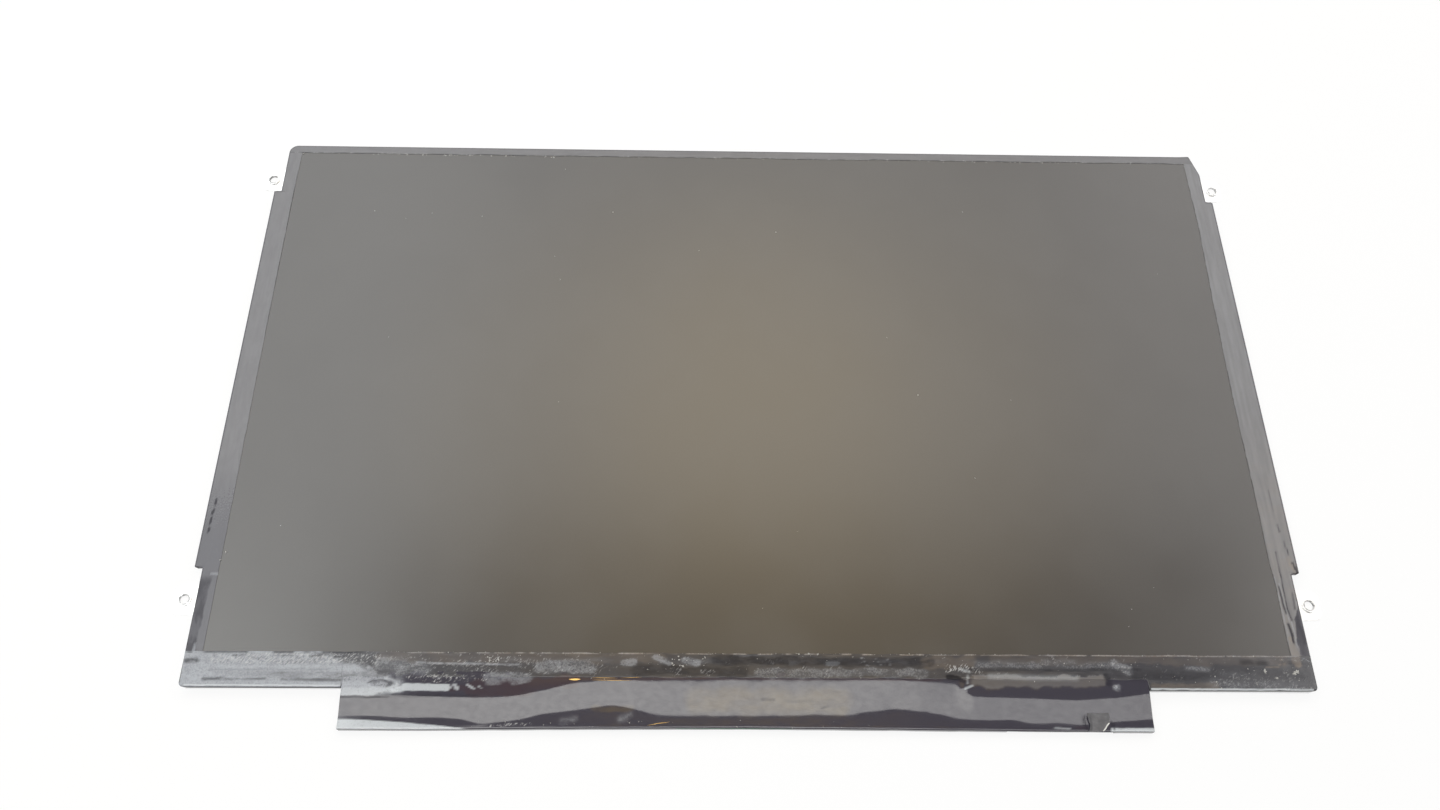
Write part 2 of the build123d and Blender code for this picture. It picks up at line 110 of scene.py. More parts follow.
class PanelSizes(bpy.types.PropertyGroup):
    """Sizes of the tapes and the film."""

    tape: length("Tape", "Thickness of the tapes", 0.00007)
    film: length("Film", "Thickness of the flap's film", 0.0001)
    edge_radius: length("Edge radius", "How softly the tapes turn over an edge", 0.00022)
    side_turn: length("Side turn", "How far the tapes reach down the rim", 0.0009)
    skirt: length("Skirt", "How far the lower tape reaches down the bottom wall", 0.0015)
    flap_cut: length("Flap cut", "Lower tape's edge above the bottom wall, at the flap", 0.0026)
    ledge_dip: length("Ledge dip", "Sag of the lower tape over the glass ledge", 0.00007)
    wing_top: length("Wing top", "Upper end of the rim's wings", 0.0727)
    wing_bottom: length("Wing bottom", "Lower end of the rim's wings", -0.04905)
    corner: length("Corner", "Radius of the top left corner", 0.0026)
    bottom_corner: length("Bottom corner", "Radius of the lower corners", 0.001)
    slant_width: length("Slant width", "Cut corner, along the top", 0.0022)
    slant_height: length("Slant height", "Cut corner, down the side", 0.007)


class PanelColours(bpy.types.PropertyGroup):
    """Colours of the finishes."""

    screen: colour("Screen", "Anti-glare polarizer", (0.048, 0.041, 0.036))
    screen_pale: colour("Screen, paler", "Paler patches of the polarizer", (0.055, 0.048, 0.043))
    tape: colour("Tape", "Clean black tape", (0.027, 0.026, 0.034))
    scuffed: colour("Scuffed tape", "Tape greyed by scuffs and glue", (0.137, 0.134, 0.145))
    # Haze also paints light: a reflection over the lower tape's left end with bands across it, and a
    # highlight on a bead.
    haze_and_sheen: colour("Haze", "Thin grey veil of old glue", (0.365, 0.385, 0.43))
    # Pale also paints highlights, on the film's folds and crease and on the lower tape's turned edge.
    pale: colour("Pale", "Bare glue and rubbed edges", (0.56, 0.59, 0.625))
    residue: colour("Residue", "Crumbs of old glue", (0.52, 0.52, 0.53))
    glue: colour("Glue", "Browned glue", (0.19, 0.15, 0.118))
    plum: colour("Plum", "Film where the driver film shows through", (0.06, 0.042, 0.052))
    film: colour("Film", "Glossy black film", (0.055, 0.051, 0.068))
    # Film tint also paints a warm reflection on the film.
    film_tint: colour("Film tint", "Browned patches of the film", (0.125, 0.098, 0.068))
    patch: colour("Patch", "Grey tape on the flap", (0.13, 0.128, 0.138))
    plastic: colour("Plastic", "Moulded frame", (0.022, 0.022, 0.025))
    steel: colour("Steel", "Rolled steel sheet", (0.95, 0.952, 0.955))
    gold: colour("Gold", "Plated traces", (0.78, 0.5, 0.17))
    dust: colour("Dust", "Dust and flecks", (0.55, 0.54, 0.52))


class StageSettings(bpy.types.PropertyGroup):
    """Camera and light."""

    lens: FloatProperty(name="Lens", description="Focal length for a 36 mm wide frame", default=27.958,
                        subtype="DISTANCE_CAMERA")
    azimuth: angle("Azimuth", "View direction, right of the panel's long way up", 2.436)
    elevation: angle("Elevation", "Camera above the horizon", 64.12)
    roll: angle("Roll", "Turn about the view direction", 2.699)
    distance: length("Distance", "Camera to the point aimed at", 0.31928)
    aim: FloatVectorProperty(name="Aim", description="Point in the middle of the picture", size=3,
                             default=(-0.008506, -0.000034, 0.0033), subtype="TRANSLATION", precision=6)
    floor: colour("Floor", "Floor", (0.95, 0.95, 0.95))
    light: brightness("Light", "Brightness of all lamps, as a share of their own", 1.0)
    zenith: brightness("Zenith", "Brightness of the room overhead", 0.01)
    horizon: brightness("Horizon", "Brightness of the room round the panel", 1.0)


# Noise and grids

LATTICE = 256


def eased(t):
    """Smooth step from 0 to 1: 6t^5 - 15t^4 + 10t^3, with t held between 0 and 1."""
    t = np.clip(t, 0.0, 1.0)
    return t * t * t * (t * (t * 6 - 15) + 10)


def lattice_noise(x, y, size, seed):
    """Value noise from -1 to 1: random numbers on a square lattice of that size, eased between neighbours."""
    table = np.random.default_rng(seed).random((LATTICE, LATTICE)) * 2 - 1
    gx, gy = x / size, y / size
    ix, iy = np.floor(gx).astype(int), np.floor(gy).astype(int)
    tx, ty = eased(gx - ix), eased(gy - iy)
    a, b = ix % LATTICE, (ix + 1) % LATTICE
    c, d = iy % LATTICE, (iy + 1) % LATTICE
    low = table[a, c] * (1 - tx) + table[b, c] * tx
    high = table[a, d] * (1 - tx) + table[b, d] * tx
    return low * (1 - ty) + high * ty


def rough_noise(x, y, size, seed, octaves=3):
    """Sum of octaves of value noise, each half as wide and half as high as the one before."""
    total = np.zeros(np.broadcast(x, y).shape)
    for k in range(octaves):
        total = total + lattice_noise(x, y, size / 2 ** k, seed + k) / 2 ** k
    return total


def soft_box(x, y, box, soft_x=0.8, soft_y=0.35):
    """1 inside a rectangle x0, x1, y0, y1 and 0 outside, eased over its borders."""
    x0, x1, y0, y1 = box
    across = eased((x - x0) / soft_x + 0.5) * eased((x1 - x) / soft_x + 0.5)
    return across * eased((y - y0) / soft_y + 0.5) * eased((y1 - y) / soft_y + 0.5)


def along(x, table):
    """Smooth curve through a table of places and values: straight runs, averaged over neighbouring places."""
    places, values = np.array(table, float).T
    spread = np.linspace(-1.5, 1.5, 9)
    return np.mean([np.interp(x + s, places, values) for s in spread], axis=0)


def grid_normals(grid):
    """Unit normal at each grid point: differences along the columns crossed with those along the rows."""
    rows = np.gradient(grid, axis=0)
    cols = np.gradient(grid, axis=1)
    normal = np.cross(cols, rows)
    return normal / np.maximum(np.linalg.norm(normal, axis=-1, keepdims=True), 1e-12)


def shell(outer, inner):
    """Closed sheet between two grids: outer face, inner face turned round, and a strip round the border."""
    rows, cols = outer.shape[:2]
    count = rows * cols
    index = np.arange(count).reshape(rows, cols)
    face = np.stack([index[:-1, :-1], index[:-1, 1:], index[1:, 1:], index[1:, :-1]], axis=-1).reshape(-1, 4)
    ring = np.concatenate([index[0, :-1], index[:-1, -1], index[-1, :0:-1], index[:0:-1, 0]])
    after = np.roll(ring, -1)
    border = np.stack([ring, ring + count, after + count, after], axis=-1)
    points = np.concatenate([outer.reshape(-1, 3), inner.reshape(-1, 3)])
    return points, np.concatenate([face, face[:, ::-1] + count, border])


def join(shells):
    """Several sheets as one list of points and one of faces."""
    starts = np.cumsum([0] + [len(points) for points, _ in shells[:-1]])
    points = np.concatenate([points for points, _ in shells])
    return points, np.concatenate([faces + start for (_, faces), start in zip(shells, starts)])


def add_piece(name, shape, finish, replaced=(), fields=None):
    """Mesh object from points in millimetres and quads, with its finish and its fields of values.

    A field is given on the first sheet's outer grid, repeated on its inner one and 0 on further sheets.
    """
    points, faces = shape
    mesh = bpy.data.meshes.new(name)
    mesh.vertices.add(len(points))
    mesh.vertices.foreach_set("co", (points * MM).astype(np.float32).ravel())
    mesh.loops.add(faces.size)
    mesh.loops.foreach_set("vertex_index", faces.astype(np.int32).ravel())
    mesh.polygons.add(len(faces))
    mesh.polygons.foreach_set("loop_start", np.arange(len(faces), dtype=np.int32) * faces.shape[1])
    mesh.update(calc_edges=True)
    if mesh.validate():
        raise RuntimeError(f"{name}: the mesh needed repairs")
    mesh.polygons.foreach_set("use_smooth", np.ones(len(faces), dtype=bool))
    mesh.set_sharp_from_angle(angle=math.radians(40))
    for field, grid in (fields or {}).items():
        values = np.zeros(len(points), dtype=np.float32)
        values[:grid.size * 2] = np.tile(grid.ravel(), 2)
        mesh.attributes.new(field, "FLOAT", "POINT").data.foreach_set("value", values)
    mesh.materials.append(finish)
    piece = bpy.data.objects.new(name, mesh)
    bpy.context.scene.collection.objects.link(piece)
    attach(piece, "root")
    if replaced:
        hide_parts(*replaced)
    return piece


# Finishes


def feed(tree, socket, value):
    """Links a socket to another one, or sets its value."""
    if isinstance(value, bpy.types.NodeSocket):
        tree.links.new(value, socket)
    else:
        socket.default_value = value


def add_node(tree, kind, inputs=None, **settings):
    """New node with its settings and its inputs, each a value or a link."""
    made = tree.nodes.new(kind)
    for key, value in settings.items():
        setattr(made, key, value)
    for key, value in (inputs or {}).items():
        feed(tree, made.inputs[key], value)
    return made


def shade(tone, factor):
    """Colour times a factor, held at 1."""
    return tuple(min(1.0, c * factor) for c in tone)


class Finish:
    """Node tree of one material, with short calls for what the finishes share."""

    def __init__(self, name, **sockets):
        self.material = bpy.data.materials.new(name)
        self.material.use_nodes = True
        self.tree = self.material.node_tree
        self.shader = self.tree.nodes["Principled BSDF"]
        self.place = self.node("ShaderNodeTexCoord").outputs["Object"]
        for key, value in sockets.items():
            self.set(key.replace("_", " "), value)

    def node(self, kind, inputs=None, **settings):
        """New node in this finish."""
        return add_node(self.tree, kind, inputs, **settings)

    def set(self, socket, value):
        """Value or link on the shader's own socket, named in any case."""
        feed(self.tree, next(s for s in self.shader.inputs if s.name.lower() == socket.lower()), value)

    def spread(self, size, stretch=(1, 1, 1), shift=0.0, turn=0.0):
        """Place divided by a size in millimetres along each axis, moved by a shift and turned about z."""
        inputs = {"Vector": self.place, "Scale": [size * s * MM for s in stretch], "Location": [shift] * 3,
                  "Rotation": (0, 0, turn)}
        return self.node("ShaderNodeMapping", inputs, vector_type="TEXTURE").outputs[0]

    def noise(self, size, stretch=(1, 1, 1), detail=3.0, rough=0.55, shift=0.0, turn=0.0):
        """Noise from 0 to 1 with features of a size in millimetres, stretched along the axes."""
        inputs = {"Vector": self.spread(size, stretch, shift, turn), "Scale": 1.0, "Detail": detail,
                  "Roughness": rough}
        return self.node("ShaderNodeTexNoise", inputs).outputs["Fac"]

    def specks(self, size, radius, share):
        """Round specks, 0 or 1: cells of a size, each with a chance of a speck of that radius, in mm."""
        cells = self.node("ShaderNodeTexVoronoi", {"Vector": self.spread(size), "Scale": 1.0})
        near = self.span(cells.outputs["Distance"], radius / size, radius / size * 0.5)
        chosen = self.node("ShaderNodeSeparateColor", {"Color": cells.outputs["Color"]})
        return self.math("MULTIPLY", near, self.span(chosen.outputs[0], 1 - share, 1 - share + 0.001))

    def span(self, value, low, high, bottom=0.0, top=1.0):
        """Value mapped from low and high to bottom and top, eased and held."""
        inputs = {"Value": value, "From Min": low, "From Max": high, "To Min": bottom, "To Max": top}
        return self.node("ShaderNodeMapRange", inputs, interpolation_type="SMOOTHSTEP").outputs[0]

    def math(self, operation, a, b, clamp=False):
        """Two values added, multiplied or compared."""
        return self.node("ShaderNodeMath", {0: a, 1: b}, operation=operation, use_clamp=clamp).outputs[0]

    def mix(self, factor, a, b):
        """Colour between two colours."""
        made = self.node("ShaderNodeMix", {"Factor": factor}, data_type="RGBA")
        for key, value in ((6, a), (7, b)):
            linked = isinstance(value, bpy.types.NodeSocket)
            feed(self.tree, made.inputs[key], value if linked else (*value, 1.0))
        return made.outputs[2]

    def hole_shade_rings(self):
        """Painted shadow round the ear holes, 0 to 1: distance from the nearest hole, folded over the two
        middles.
        """
        mount = next(m for m in frame["record"]["mounts"] if m["name"] == "ear_holes")
        spans = [mount["dims"]["spacing_x_mm"] * MM / 2, mount["dims"]["spacing_y_mm"] * MM / 2]
        xyz = self.node("ShaderNodeSeparateXYZ", {0: self.place})
        sides = []
        for axis in (0, 1):
            moved = self.math("SUBTRACT", xyz.outputs[axis], mount["pos_m"][axis])
            folded = self.math("SUBTRACT", self.math("ABSOLUTE", moved, 0.0), spans[axis])
            sides.append(self.math("MULTIPLY", folded, folded))
        distance = self.math("SQRT", self.math("ADD", *sides), 0.0)
        inner = mount["dims"]["hole_r_mm"] * MM
        ring = self.math("MULTIPLY", self.span(distance, inner - 0.0001, inner),
                         self.span(distance, inner + 0.0003, inner + 0.0002))
        return self.math("MULTIPLY", ring, self.span(self.noise(1.1, shift=0.011), 0.42, 0.56, 0.35, 0.9))

    def field(self, name):
        """Value that the mesh carries at each point."""
        return self.node("ShaderNodeAttribute", attribute_name=name).outputs["Fac"]

    def bump(self, height, depth, strength=1.0):
        """Relief of a depth in millimetres from a height of 0 to 1."""
        made = self.node("ShaderNodeBump", {"Height": height, "Distance": depth * MM, "Strength": strength})
        self.set("Normal", made.outputs[0])


def screen_finish(colours):
    """Anti-glare polarizer: matt, faintly mottled, with fine grain and a few white specks."""
    f = Finish("screen_anti_glare", specular_ior_level=1.0)
    grain = f.noise(0.16, detail=1.0)
    broad = f.noise(38, detail=2.0)
    base = f.mix(f.span(broad, 0.35, 0.65), colours.screen, colours.screen_pale)
    base = f.mix(f.span(grain, 0.3, 0.9, 0.0, 0.25), base, shade(colours.screen, 0.6))
    base = f.mix(f.specks(9.0, 0.11, 0.14), base, colours.dust)
    f.set("Base Color", base)
    f.set("Roughness", f.span(broad, 0.3, 0.7, 0.245, 0.265))
    f.bump(grain, 0.002, 0.2)
    return f.material


def worn_finish(name, colours, ground, tint, gloss, streak):
    """Worn black tape or film: greyed, browned, veiled, crumbed and lined by its fields, broken up by noise.

    The veil also carries painted reflections and a painted highlight, the pale marks painted highlights, the
    browning on the film partly a painted warm reflection, and the lines painted shade. A thin veil is mottled
    and a thick one smooth; crumbs are short slanted strokes, each beside a stroke of painted shade.
    """
    f = Finish(name)
    fine = f.noise(0.4, detail=4.0)
    grain = f.noise(0.2, detail=2.0, shift=0.011)
    streaks = f.noise(0.9, stretch=streak, detail=3.0)
    broad = f.noise(4.0, stretch=(2, 1, 1), detail=4.0, shift=0.031)
    smear = f.noise(1.5, stretch=tuple(s ** 0.4 for s in streak), detail=6.0, rough=0.65, shift=0.043)
    strokes = f.noise(0.34, stretch=(1, 3.4, 1), detail=3.0, rough=0.6, shift=0.017, turn=-0.75)
    scuff = f.math("MULTIPLY", f.field("scuff"), f.span(streaks, 0.25, 0.65, 0.88, 1.03), clamp=True)
    base = f.mix(scuff, ground, colours.scuffed)
    base = f.mix(f.math("MULTIPLY", f.field("brown"), f.span(broad, 0.3, 0.65, 0.45, 1.0)), base, tint)
    base = f.mix(f.math("MULTIPLY", f.field("plum"), f.span(broad, 0.3, 0.65, 0.6, 1.0)), base, colours.plum)
    # The haze field also carries painted reflections and a painted highlight.
    haze_and_sheen = f.field("haze_and_sheen")
    even = f.math("MAXIMUM", f.span(smear, 0.36, 0.6, 0.4, 1.0), f.span(haze_and_sheen, 0.5, 0.85, 0.0, 0.9))
    veil_and_sheen = f.math("MULTIPLY", f.math("MULTIPLY", haze_and_sheen, even), f.span(fine, 0.3, 0.6, 0.74, 1.07))
    veil_and_sheen = f.math("MULTIPLY", veil_and_sheen, f.span(grain, 0.3, 0.65, 0.83, 1.1), clamp=True)
    base = f.mix(veil_and_sheen, base, colours.haze_and_sheen)
    pale = f.math("MULTIPLY", f.field("pale"), f.span(fine, 0.25, 0.5, 0.82, 1.0), clamp=True)
    base = f.mix(pale, base, colours.pale)
    thick = f.math("MULTIPLY", f.field("residue"), f.span(smear, 0.3, 0.7, 0.6, 1.5))
    crumbed = f.span(thick, 0.25, 0.8)
    crumbs = f.math("MULTIPLY", f.span(strokes, 0.5, 0.66), crumbed)
    # Painted shade: a dark stroke beside each crumb.
    crumb_shade = f.math("MULTIPLY", f.span(strokes, 0.46, 0.36, 0.0, 0.5), crumbed)
    base = f.mix(crumb_shade, base, ground)
    base = f.mix(f.math("MULTIPLY", crumbs, 0.7), base, colours.residue)
    # The line field also carries painted shade.
    dark = f.field("line")
    solid = f.math("MAXIMUM", f.span(smear, 0.38, 0.58, 0.5, 1.0), f.span(dark, 0.6, 0.9))
    line = f.math("MULTIPLY", dark, solid)
    base = f.mix(line, base, shade(ground, 0.6))
    f.set("Base Color", base)
    cloudy = f.span(smear, 0.3, 0.7, 0.8, 1.0)
    f.set("Specular IOR Level", f.math("MULTIPLY", cloudy, f.span(line, 0.0, 1.0, 0.98, 0.3)))
    rough = f.math("ADD", f.span(scuff, 0.0, 1.0, gloss, gloss + 0.1), f.span(fine, 0.3, 0.7, 0.0, 0.05))
    rough = f.math("ADD", rough, f.math("MULTIPLY", f.math("MAXIMUM", crumbs, veil_and_sheen), 0.3), clamp=True)
    f.set("Roughness", rough)
    f.bump(f.math("ADD", fine, crumbs), 0.01, 0.35)
    return f.material


def patch_finish(colours):
    """Matt grey tape with a paper-like grain and pale torn fibres at its lifted corner, partly a painted
    highlight.
    """
    f = Finish("patch_grey_tape", specular_ior_level=0.5)
    fine = f.noise(0.22, detail=4.0)
    broad = f.noise(2.2, detail=3.0)
    base = f.mix(f.span(broad, 0.3, 0.7), shade(colours.patch, 0.8), shade(colours.patch, 1.25))
    # Pale torn corner: torn fibres, partly a painted highlight on the lifted corner.
    torn = f.span(f.math("ADD", f.field("torn"), f.math("SUBTRACT", fine, 0.5)), 0.45, 0.7)
    base = f.mix(torn, base, (0.7, 0.7, 0.68))
    f.set("Base Color", base)
    f.set("Roughness", f.span(fine, 0.3, 0.7, 0.55, 0.75))
    f.bump(fine, 0.02, 0.5)
    return f.material


def dust_finish(colours):
    """Off-white flecks, uneven and matt."""
    f = Finish("dust_flecks", specular_ior_level=0.3)
    fine = f.noise(0.3, detail=3.0)
    f.set("Base Color", f.mix(f.span(fine, 0.3, 0.7), shade(colours.dust, 0.6), colours.dust))
    f.set("Roughness", f.span(fine, 0.3, 0.7, 0.6, 0.85))
    f.bump(fine, 0.03, 0.5)
    return f.material


def steel_finish(name, tone, rough, size=0.25, hole_shade=False):
    """Rolled sheet steel: fine lines along the rolling direction, cloudy sheen and a few scratches."""
    f = Finish(name, metallic=1.0)
    lines = f.noise(size, stretch=(60, 1, 1), detail=3.0)
    cloud = f.noise(9, stretch=(7, 1, 1), detail=3.0)
    scratch = f.span(f.noise(0.5, stretch=(1, 40, 1), detail=1.0, shift=7.7), 0.7, 0.78)
    base = f.mix(f.span(cloud, 0.3, 0.7), shade(tone, 0.93), tone)
    base = f.mix(f.math("MULTIPLY", scratch, 0.35), base, shade(tone, 1.2))
    # Painted shadow: a dark ring round each ear hole.
    if hole_shade:
        base = f.mix(f.math("MULTIPLY", f.hole_shade_rings(), 0.85), base, (0.05, 0.048, 0.045))
    f.set("Base Color", base)
    sheen = f.span(cloud, 0.3, 0.7, 0.0, 0.06)
    f.set("Roughness", f.math("ADD", f.span(lines, 0.3, 0.7, rough, rough + 0.1), sheen))
    f.bump(lines, 0.004, 0.25)
    return f.material


def moulded_finish(name, tone, rough, size, vary=0.25, metallic=0.0, stretch=(1, 1, 1)):
    """Plain part finish: two tones of one colour in a noise of a size, with grain in gloss and relief."""
    f = Finish(name, metallic=metallic, specular_ior_level=0.5)
    fine = f.noise(size, stretch=stretch, detail=3.0)
    broad = f.noise(size * 14, stretch=stretch, detail=2.0, shift=1.7)
    darker = shade(tone, 1 - vary)
    base = f.mix(f.span(broad, 0.3, 0.7), darker, shade(tone, 1 + vary * 0.4))
    f.set("Base Color", f.mix(f.span(fine, 0.35, 0.8, 0.0, 0.3), base, darker))
    f.set("Roughness", f.span(fine, 0.3, 0.7, rough, rough + 0.12))
    f.bump(fine, 0.008, 0.3)
    return f.material


def glass_finish(name, tone):
    """Thin display glass: clear, faintly green, its tone and gloss faintly uneven."""
    f = Finish(name, ior=1.51, transmission_weight=0.85)
    fine = f.noise(0.3, detail=2.0)
    f.set("Base Color", f.mix(f.span(fine, 0.3, 0.7), tone, shade(tone, 0.9)))
    f.set("Roughness", f.span(fine, 0.3, 0.7, 0.04, 0.12))
    return f.material


# Solids that keep their own shape: slot, then finish name, colour, roughness, grain size and more.
SOLID_FINISHES = {
    "inner_polarizer": ("inner_polarizer_film", (0.12, 0.12, 0.14), 0.25, 0.3, {}),
    "white_sheet": ("white_light_sheet", (0.9, 0.9, 0.89), 0.45, 0.3, {"vary": 0.05}),
    "clear_sheet": ("clear_light_guide", (0.85, 0.88, 0.9), 0.15, 0.2, {"vary": 0.06}),
    "amber_flex": ("amber_flex_film", (0.55, 0.3, 0.06), 0.35, 0.35, {"stretch": (1, 12, 1)}),
    "led_white": ("led_body_white", (0.9, 0.86, 0.6), 0.3, 0.2, {"vary": 0.1}),
    "board_green": ("board_solder_mask", (0.025, 0.13, 0.07), 0.32, 0.35, {"stretch": (8, 1, 1)}),
    "chip_black": ("chip_moulding", (0.03, 0.03, 0.032), 0.55, 0.12, {}),
    "ceramic_tan": ("ceramic_body", (0.42, 0.3, 0.17), 0.4, 0.15, {}),
    "ferrite_grey": ("ferrite_body", (0.1, 0.1, 0.105), 0.6, 0.15, {}),
    "connector_plastic": ("connector_cream_plastic", (0.72, 0.69, 0.6), 0.4, 0.18, {"vary": 0.12}),
    "contact_gold": ("contact_gold_plate", (0.83, 0.63, 0.25), 0.22, 0.1, {"metallic": 1.0, "vary": 0.12}),
}


# Shapes


def bulge(x, y):
    """Lift over the driver films and their chips: eased plates, a round bead and a crease."""
    right = 0.035 * soft_box(x, y, (57.0, 91.0, -79.6, -76.0), 2.0, 1.7)
    left = 0.05 * soft_box(x, y, (-97.2, -92.3, -80.1, -78.4), 1.2, 0.9)
    bead = 0.11 * np.exp(-((x - 93.3) ** 2 + (y + 79.6) ** 2) / 0.9)
    crease = 0.14 * np.exp(-((x - 54.5 - 0.4 * (y + 78)) ** 2) / 0.6)
    crease = crease * soft_box(x, y, (50, 58, -80.4, -77.4), 2, 1.2)
    return right + left + bead + crease


def ledge_height(x, y, dip):
    """Top of the lower tape: flat, sagging behind the rim, lifted by the bulges, crinkled."""
    sag = eased((-71.4 - y) / 3.4) * eased((y + 79.2) / 2.4)
    crinkle = 0.018 * rough_noise(x, y * 1.6, 3.4, 11) + 0.02 * lattice_noise(x, y * 0.8, 11.0, 15)
    calm = eased((-71.3 - y) / 0.8)
    return FRONT_Z - dip * sag + bulge(x, y) + crinkle * calm


# Where the film leaves the level of the tape, and where it reaches the board: x and y in millimetres.
SLOPE_START = ((-104.3, -82.1), (-89, -82.3), (-79, -82.6), (-70, -82.8), (-63, -82.5), (-58.5, -82.0),
               (-53.5, -80.9), (-48.3, -79.6), (-45.5, -78.9), (-39, -78.3), (-16.7, -77.9), (11.7, -77.6),
               (38, -77.8), (50, -78.4), (52.8, -78.9), (55, -82.0), (63, -82.3), (73, -82.5), (83, -82.9),
               (94, -82.1), (101.5, -81.0))
SLOPE_END = ((-104.3, -87.0), (-96, -86.9), (-88.5, -87.4), (-80.7, -87.2), (-73, -87.7), (-69, -89.0),
             (-65, -88.5), (-58.2, -87.6), (-53.3, -86.3), (-45.3, -85.5), (-35.5, -84.0), (-30.2, -85.1),
             (-24.4, -86.8), (-16.6, -86.8), (11.7, -86.8), (15.5, -86.3), (22.3, -86.6), (29.2, -85.7),
             (36.2, -84.8), (41, -85.3), (47.3, -86.1), (51.5, -87.3), (59.8, -87.5), (66.2, -87.3),
             (69.9, -88.3), (77.6, -88.0), (82.6, -88.6), (90, -88.0), (101.5, -87.0))
FOLD_BOW = ((-104.3, 0.0), (-80, 0.02), (-44, 0.35), (-4, 0.6), (37, 0.35), (82, 0.02), (101.5, 0.0))


def film_height(x, y):
    """Top of the film: level, a ramp between two lines that vary along x, level on the board, waved.

    The ramp is half the difference of two square-root curves, so both ends round off.
    """
    start, end = along(x, SLOPE_START), along(x, SLOPE_END)
    t = (start - y) / (start - end)
    soft = 0.06
    ramp = 0.5 * (np.sqrt(t * t + soft * soft) - np.sqrt((t - 1) ** 2 + soft * soft) + 1)
    top, low = SCREEN_Z, BOARD_Z + 0.26
    waves = 0.016 * rough_noise(x, y * 1.4, 7.0, 31) + 0.02 * lattice_noise(x, y, 18.0, 35)
    settle = eased((y + 90.6) / 1.5)
    return top - (top - low) * ramp + waves * settle + 0.8 * bulge(x, y)


def outward_of(edge):
    """Unit direction to the right of an outline at each point: its tangent, turned and made unit."""
    tangent = np.gradient(edge, axis=0)
    outward = np.stack([tangent[:, 1], -tangent[:, 0]], axis=-1)
    return outward / np.linalg.norm(outward, axis=-1, keepdims=True)


def filled_in(turn, run, x, y):
    """Places between the last row of a turned edge and an inner line, at shares of the way."""
    start = turn[-1]
    return (start[None, :, 0] * (1 - run) + x[None] * run,
            start[None, :, 1] * (1 - run) + y[None] * run)


def turned_edge(edge, outward, top, radius, drop):
    """Rows of a tape that turns over an edge: from the low end up the wall, then round a quarter circle.

    edge and outward give the outline and its outward direction at each column, and top the height there.
    """
    wall = np.linspace(0, 1, 8)[:, None]
    wall_z = (top - drop)[None] + wall * np.maximum(drop - radius, 0.01)[None]
    angle = np.linspace(math.pi / 2, 0, 6)[1:, None]
    reach = np.concatenate([np.full_like(wall, radius), radius * np.sin(angle)])
    arc_z = top[None] - radius * (1 - np.cos(angle))
    plan = (edge - radius * outward)[None] + reach[..., None] * outward[None]
    return np.concatenate([plan, np.concatenate([wall_z, arc_z])[..., None]], axis=-1)


def lower_tape_shape(sizes):
    """Lower tape: an outline along x, cut out at the flap and turned down beside it.

    Each column starts at the outline, turns over the edge and runs up the ledge to the screen's lower edge.
    """
    radius, corner = sizes.edge_radius / MM, sizes.bottom_corner / MM
    bend = np.sin(np.linspace(0, math.pi / 2, 14)) * corner
    ends = HALF - corner + bend
    steps = [np.linspace(x - 0.9, x + 0.9, 25) for x in FLAP]
    x = np.unique(np.concatenate([-ends, ends, np.arange(-HALF + corner, HALF - corner, 0.6), *steps]))
    inside = eased((x - FLAP[0] + 0.3) / 0.6) * eased((FLAP[1] + 0.3 - x) / 0.6)
    past = np.clip(np.abs(x) - (HALF - corner), 0, corner)
    edge_y = BOTTOM_Y - 0.08 + corner - np.sqrt(corner ** 2 - past ** 2)
    ragged = 0.16 * rough_noise(x, 0 * x, 5.0, 51)
    edge_y = edge_y + inside * (sizes.flap_cut / MM + ragged)
    edge = np.stack([x, edge_y], axis=-1)
    outward = outward_of(edge)
    dip = sizes.ledge_dip / MM
    edge_z = ledge_height(x, edge_y, dip)
    drop = 0.1 + (1 - inside) * (sizes.skirt / MM - 0.1) * eased((HALF - 0.4 - np.abs(x)) / 1.5)
    turn = turned_edge(edge, outward, edge_z, radius, np.maximum(drop, radius + 0.02))
    run = np.linspace(0, 1, 38)[1:, None]
    top_y = TAPE_HIGH[1] + 0.1 * lattice_noise(x, 0 * x, 4.0, 53)
    plan_x, plan_y = filled_in(turn, run, x, top_y)
    flat = np.stack([plan_x, plan_y, ledge_height(plan_x, plan_y, dip)], axis=-1)
    outer = np.concatenate([turn, flat])
    return outer, outer - grid_normals(outer) * sizes.tape / MM


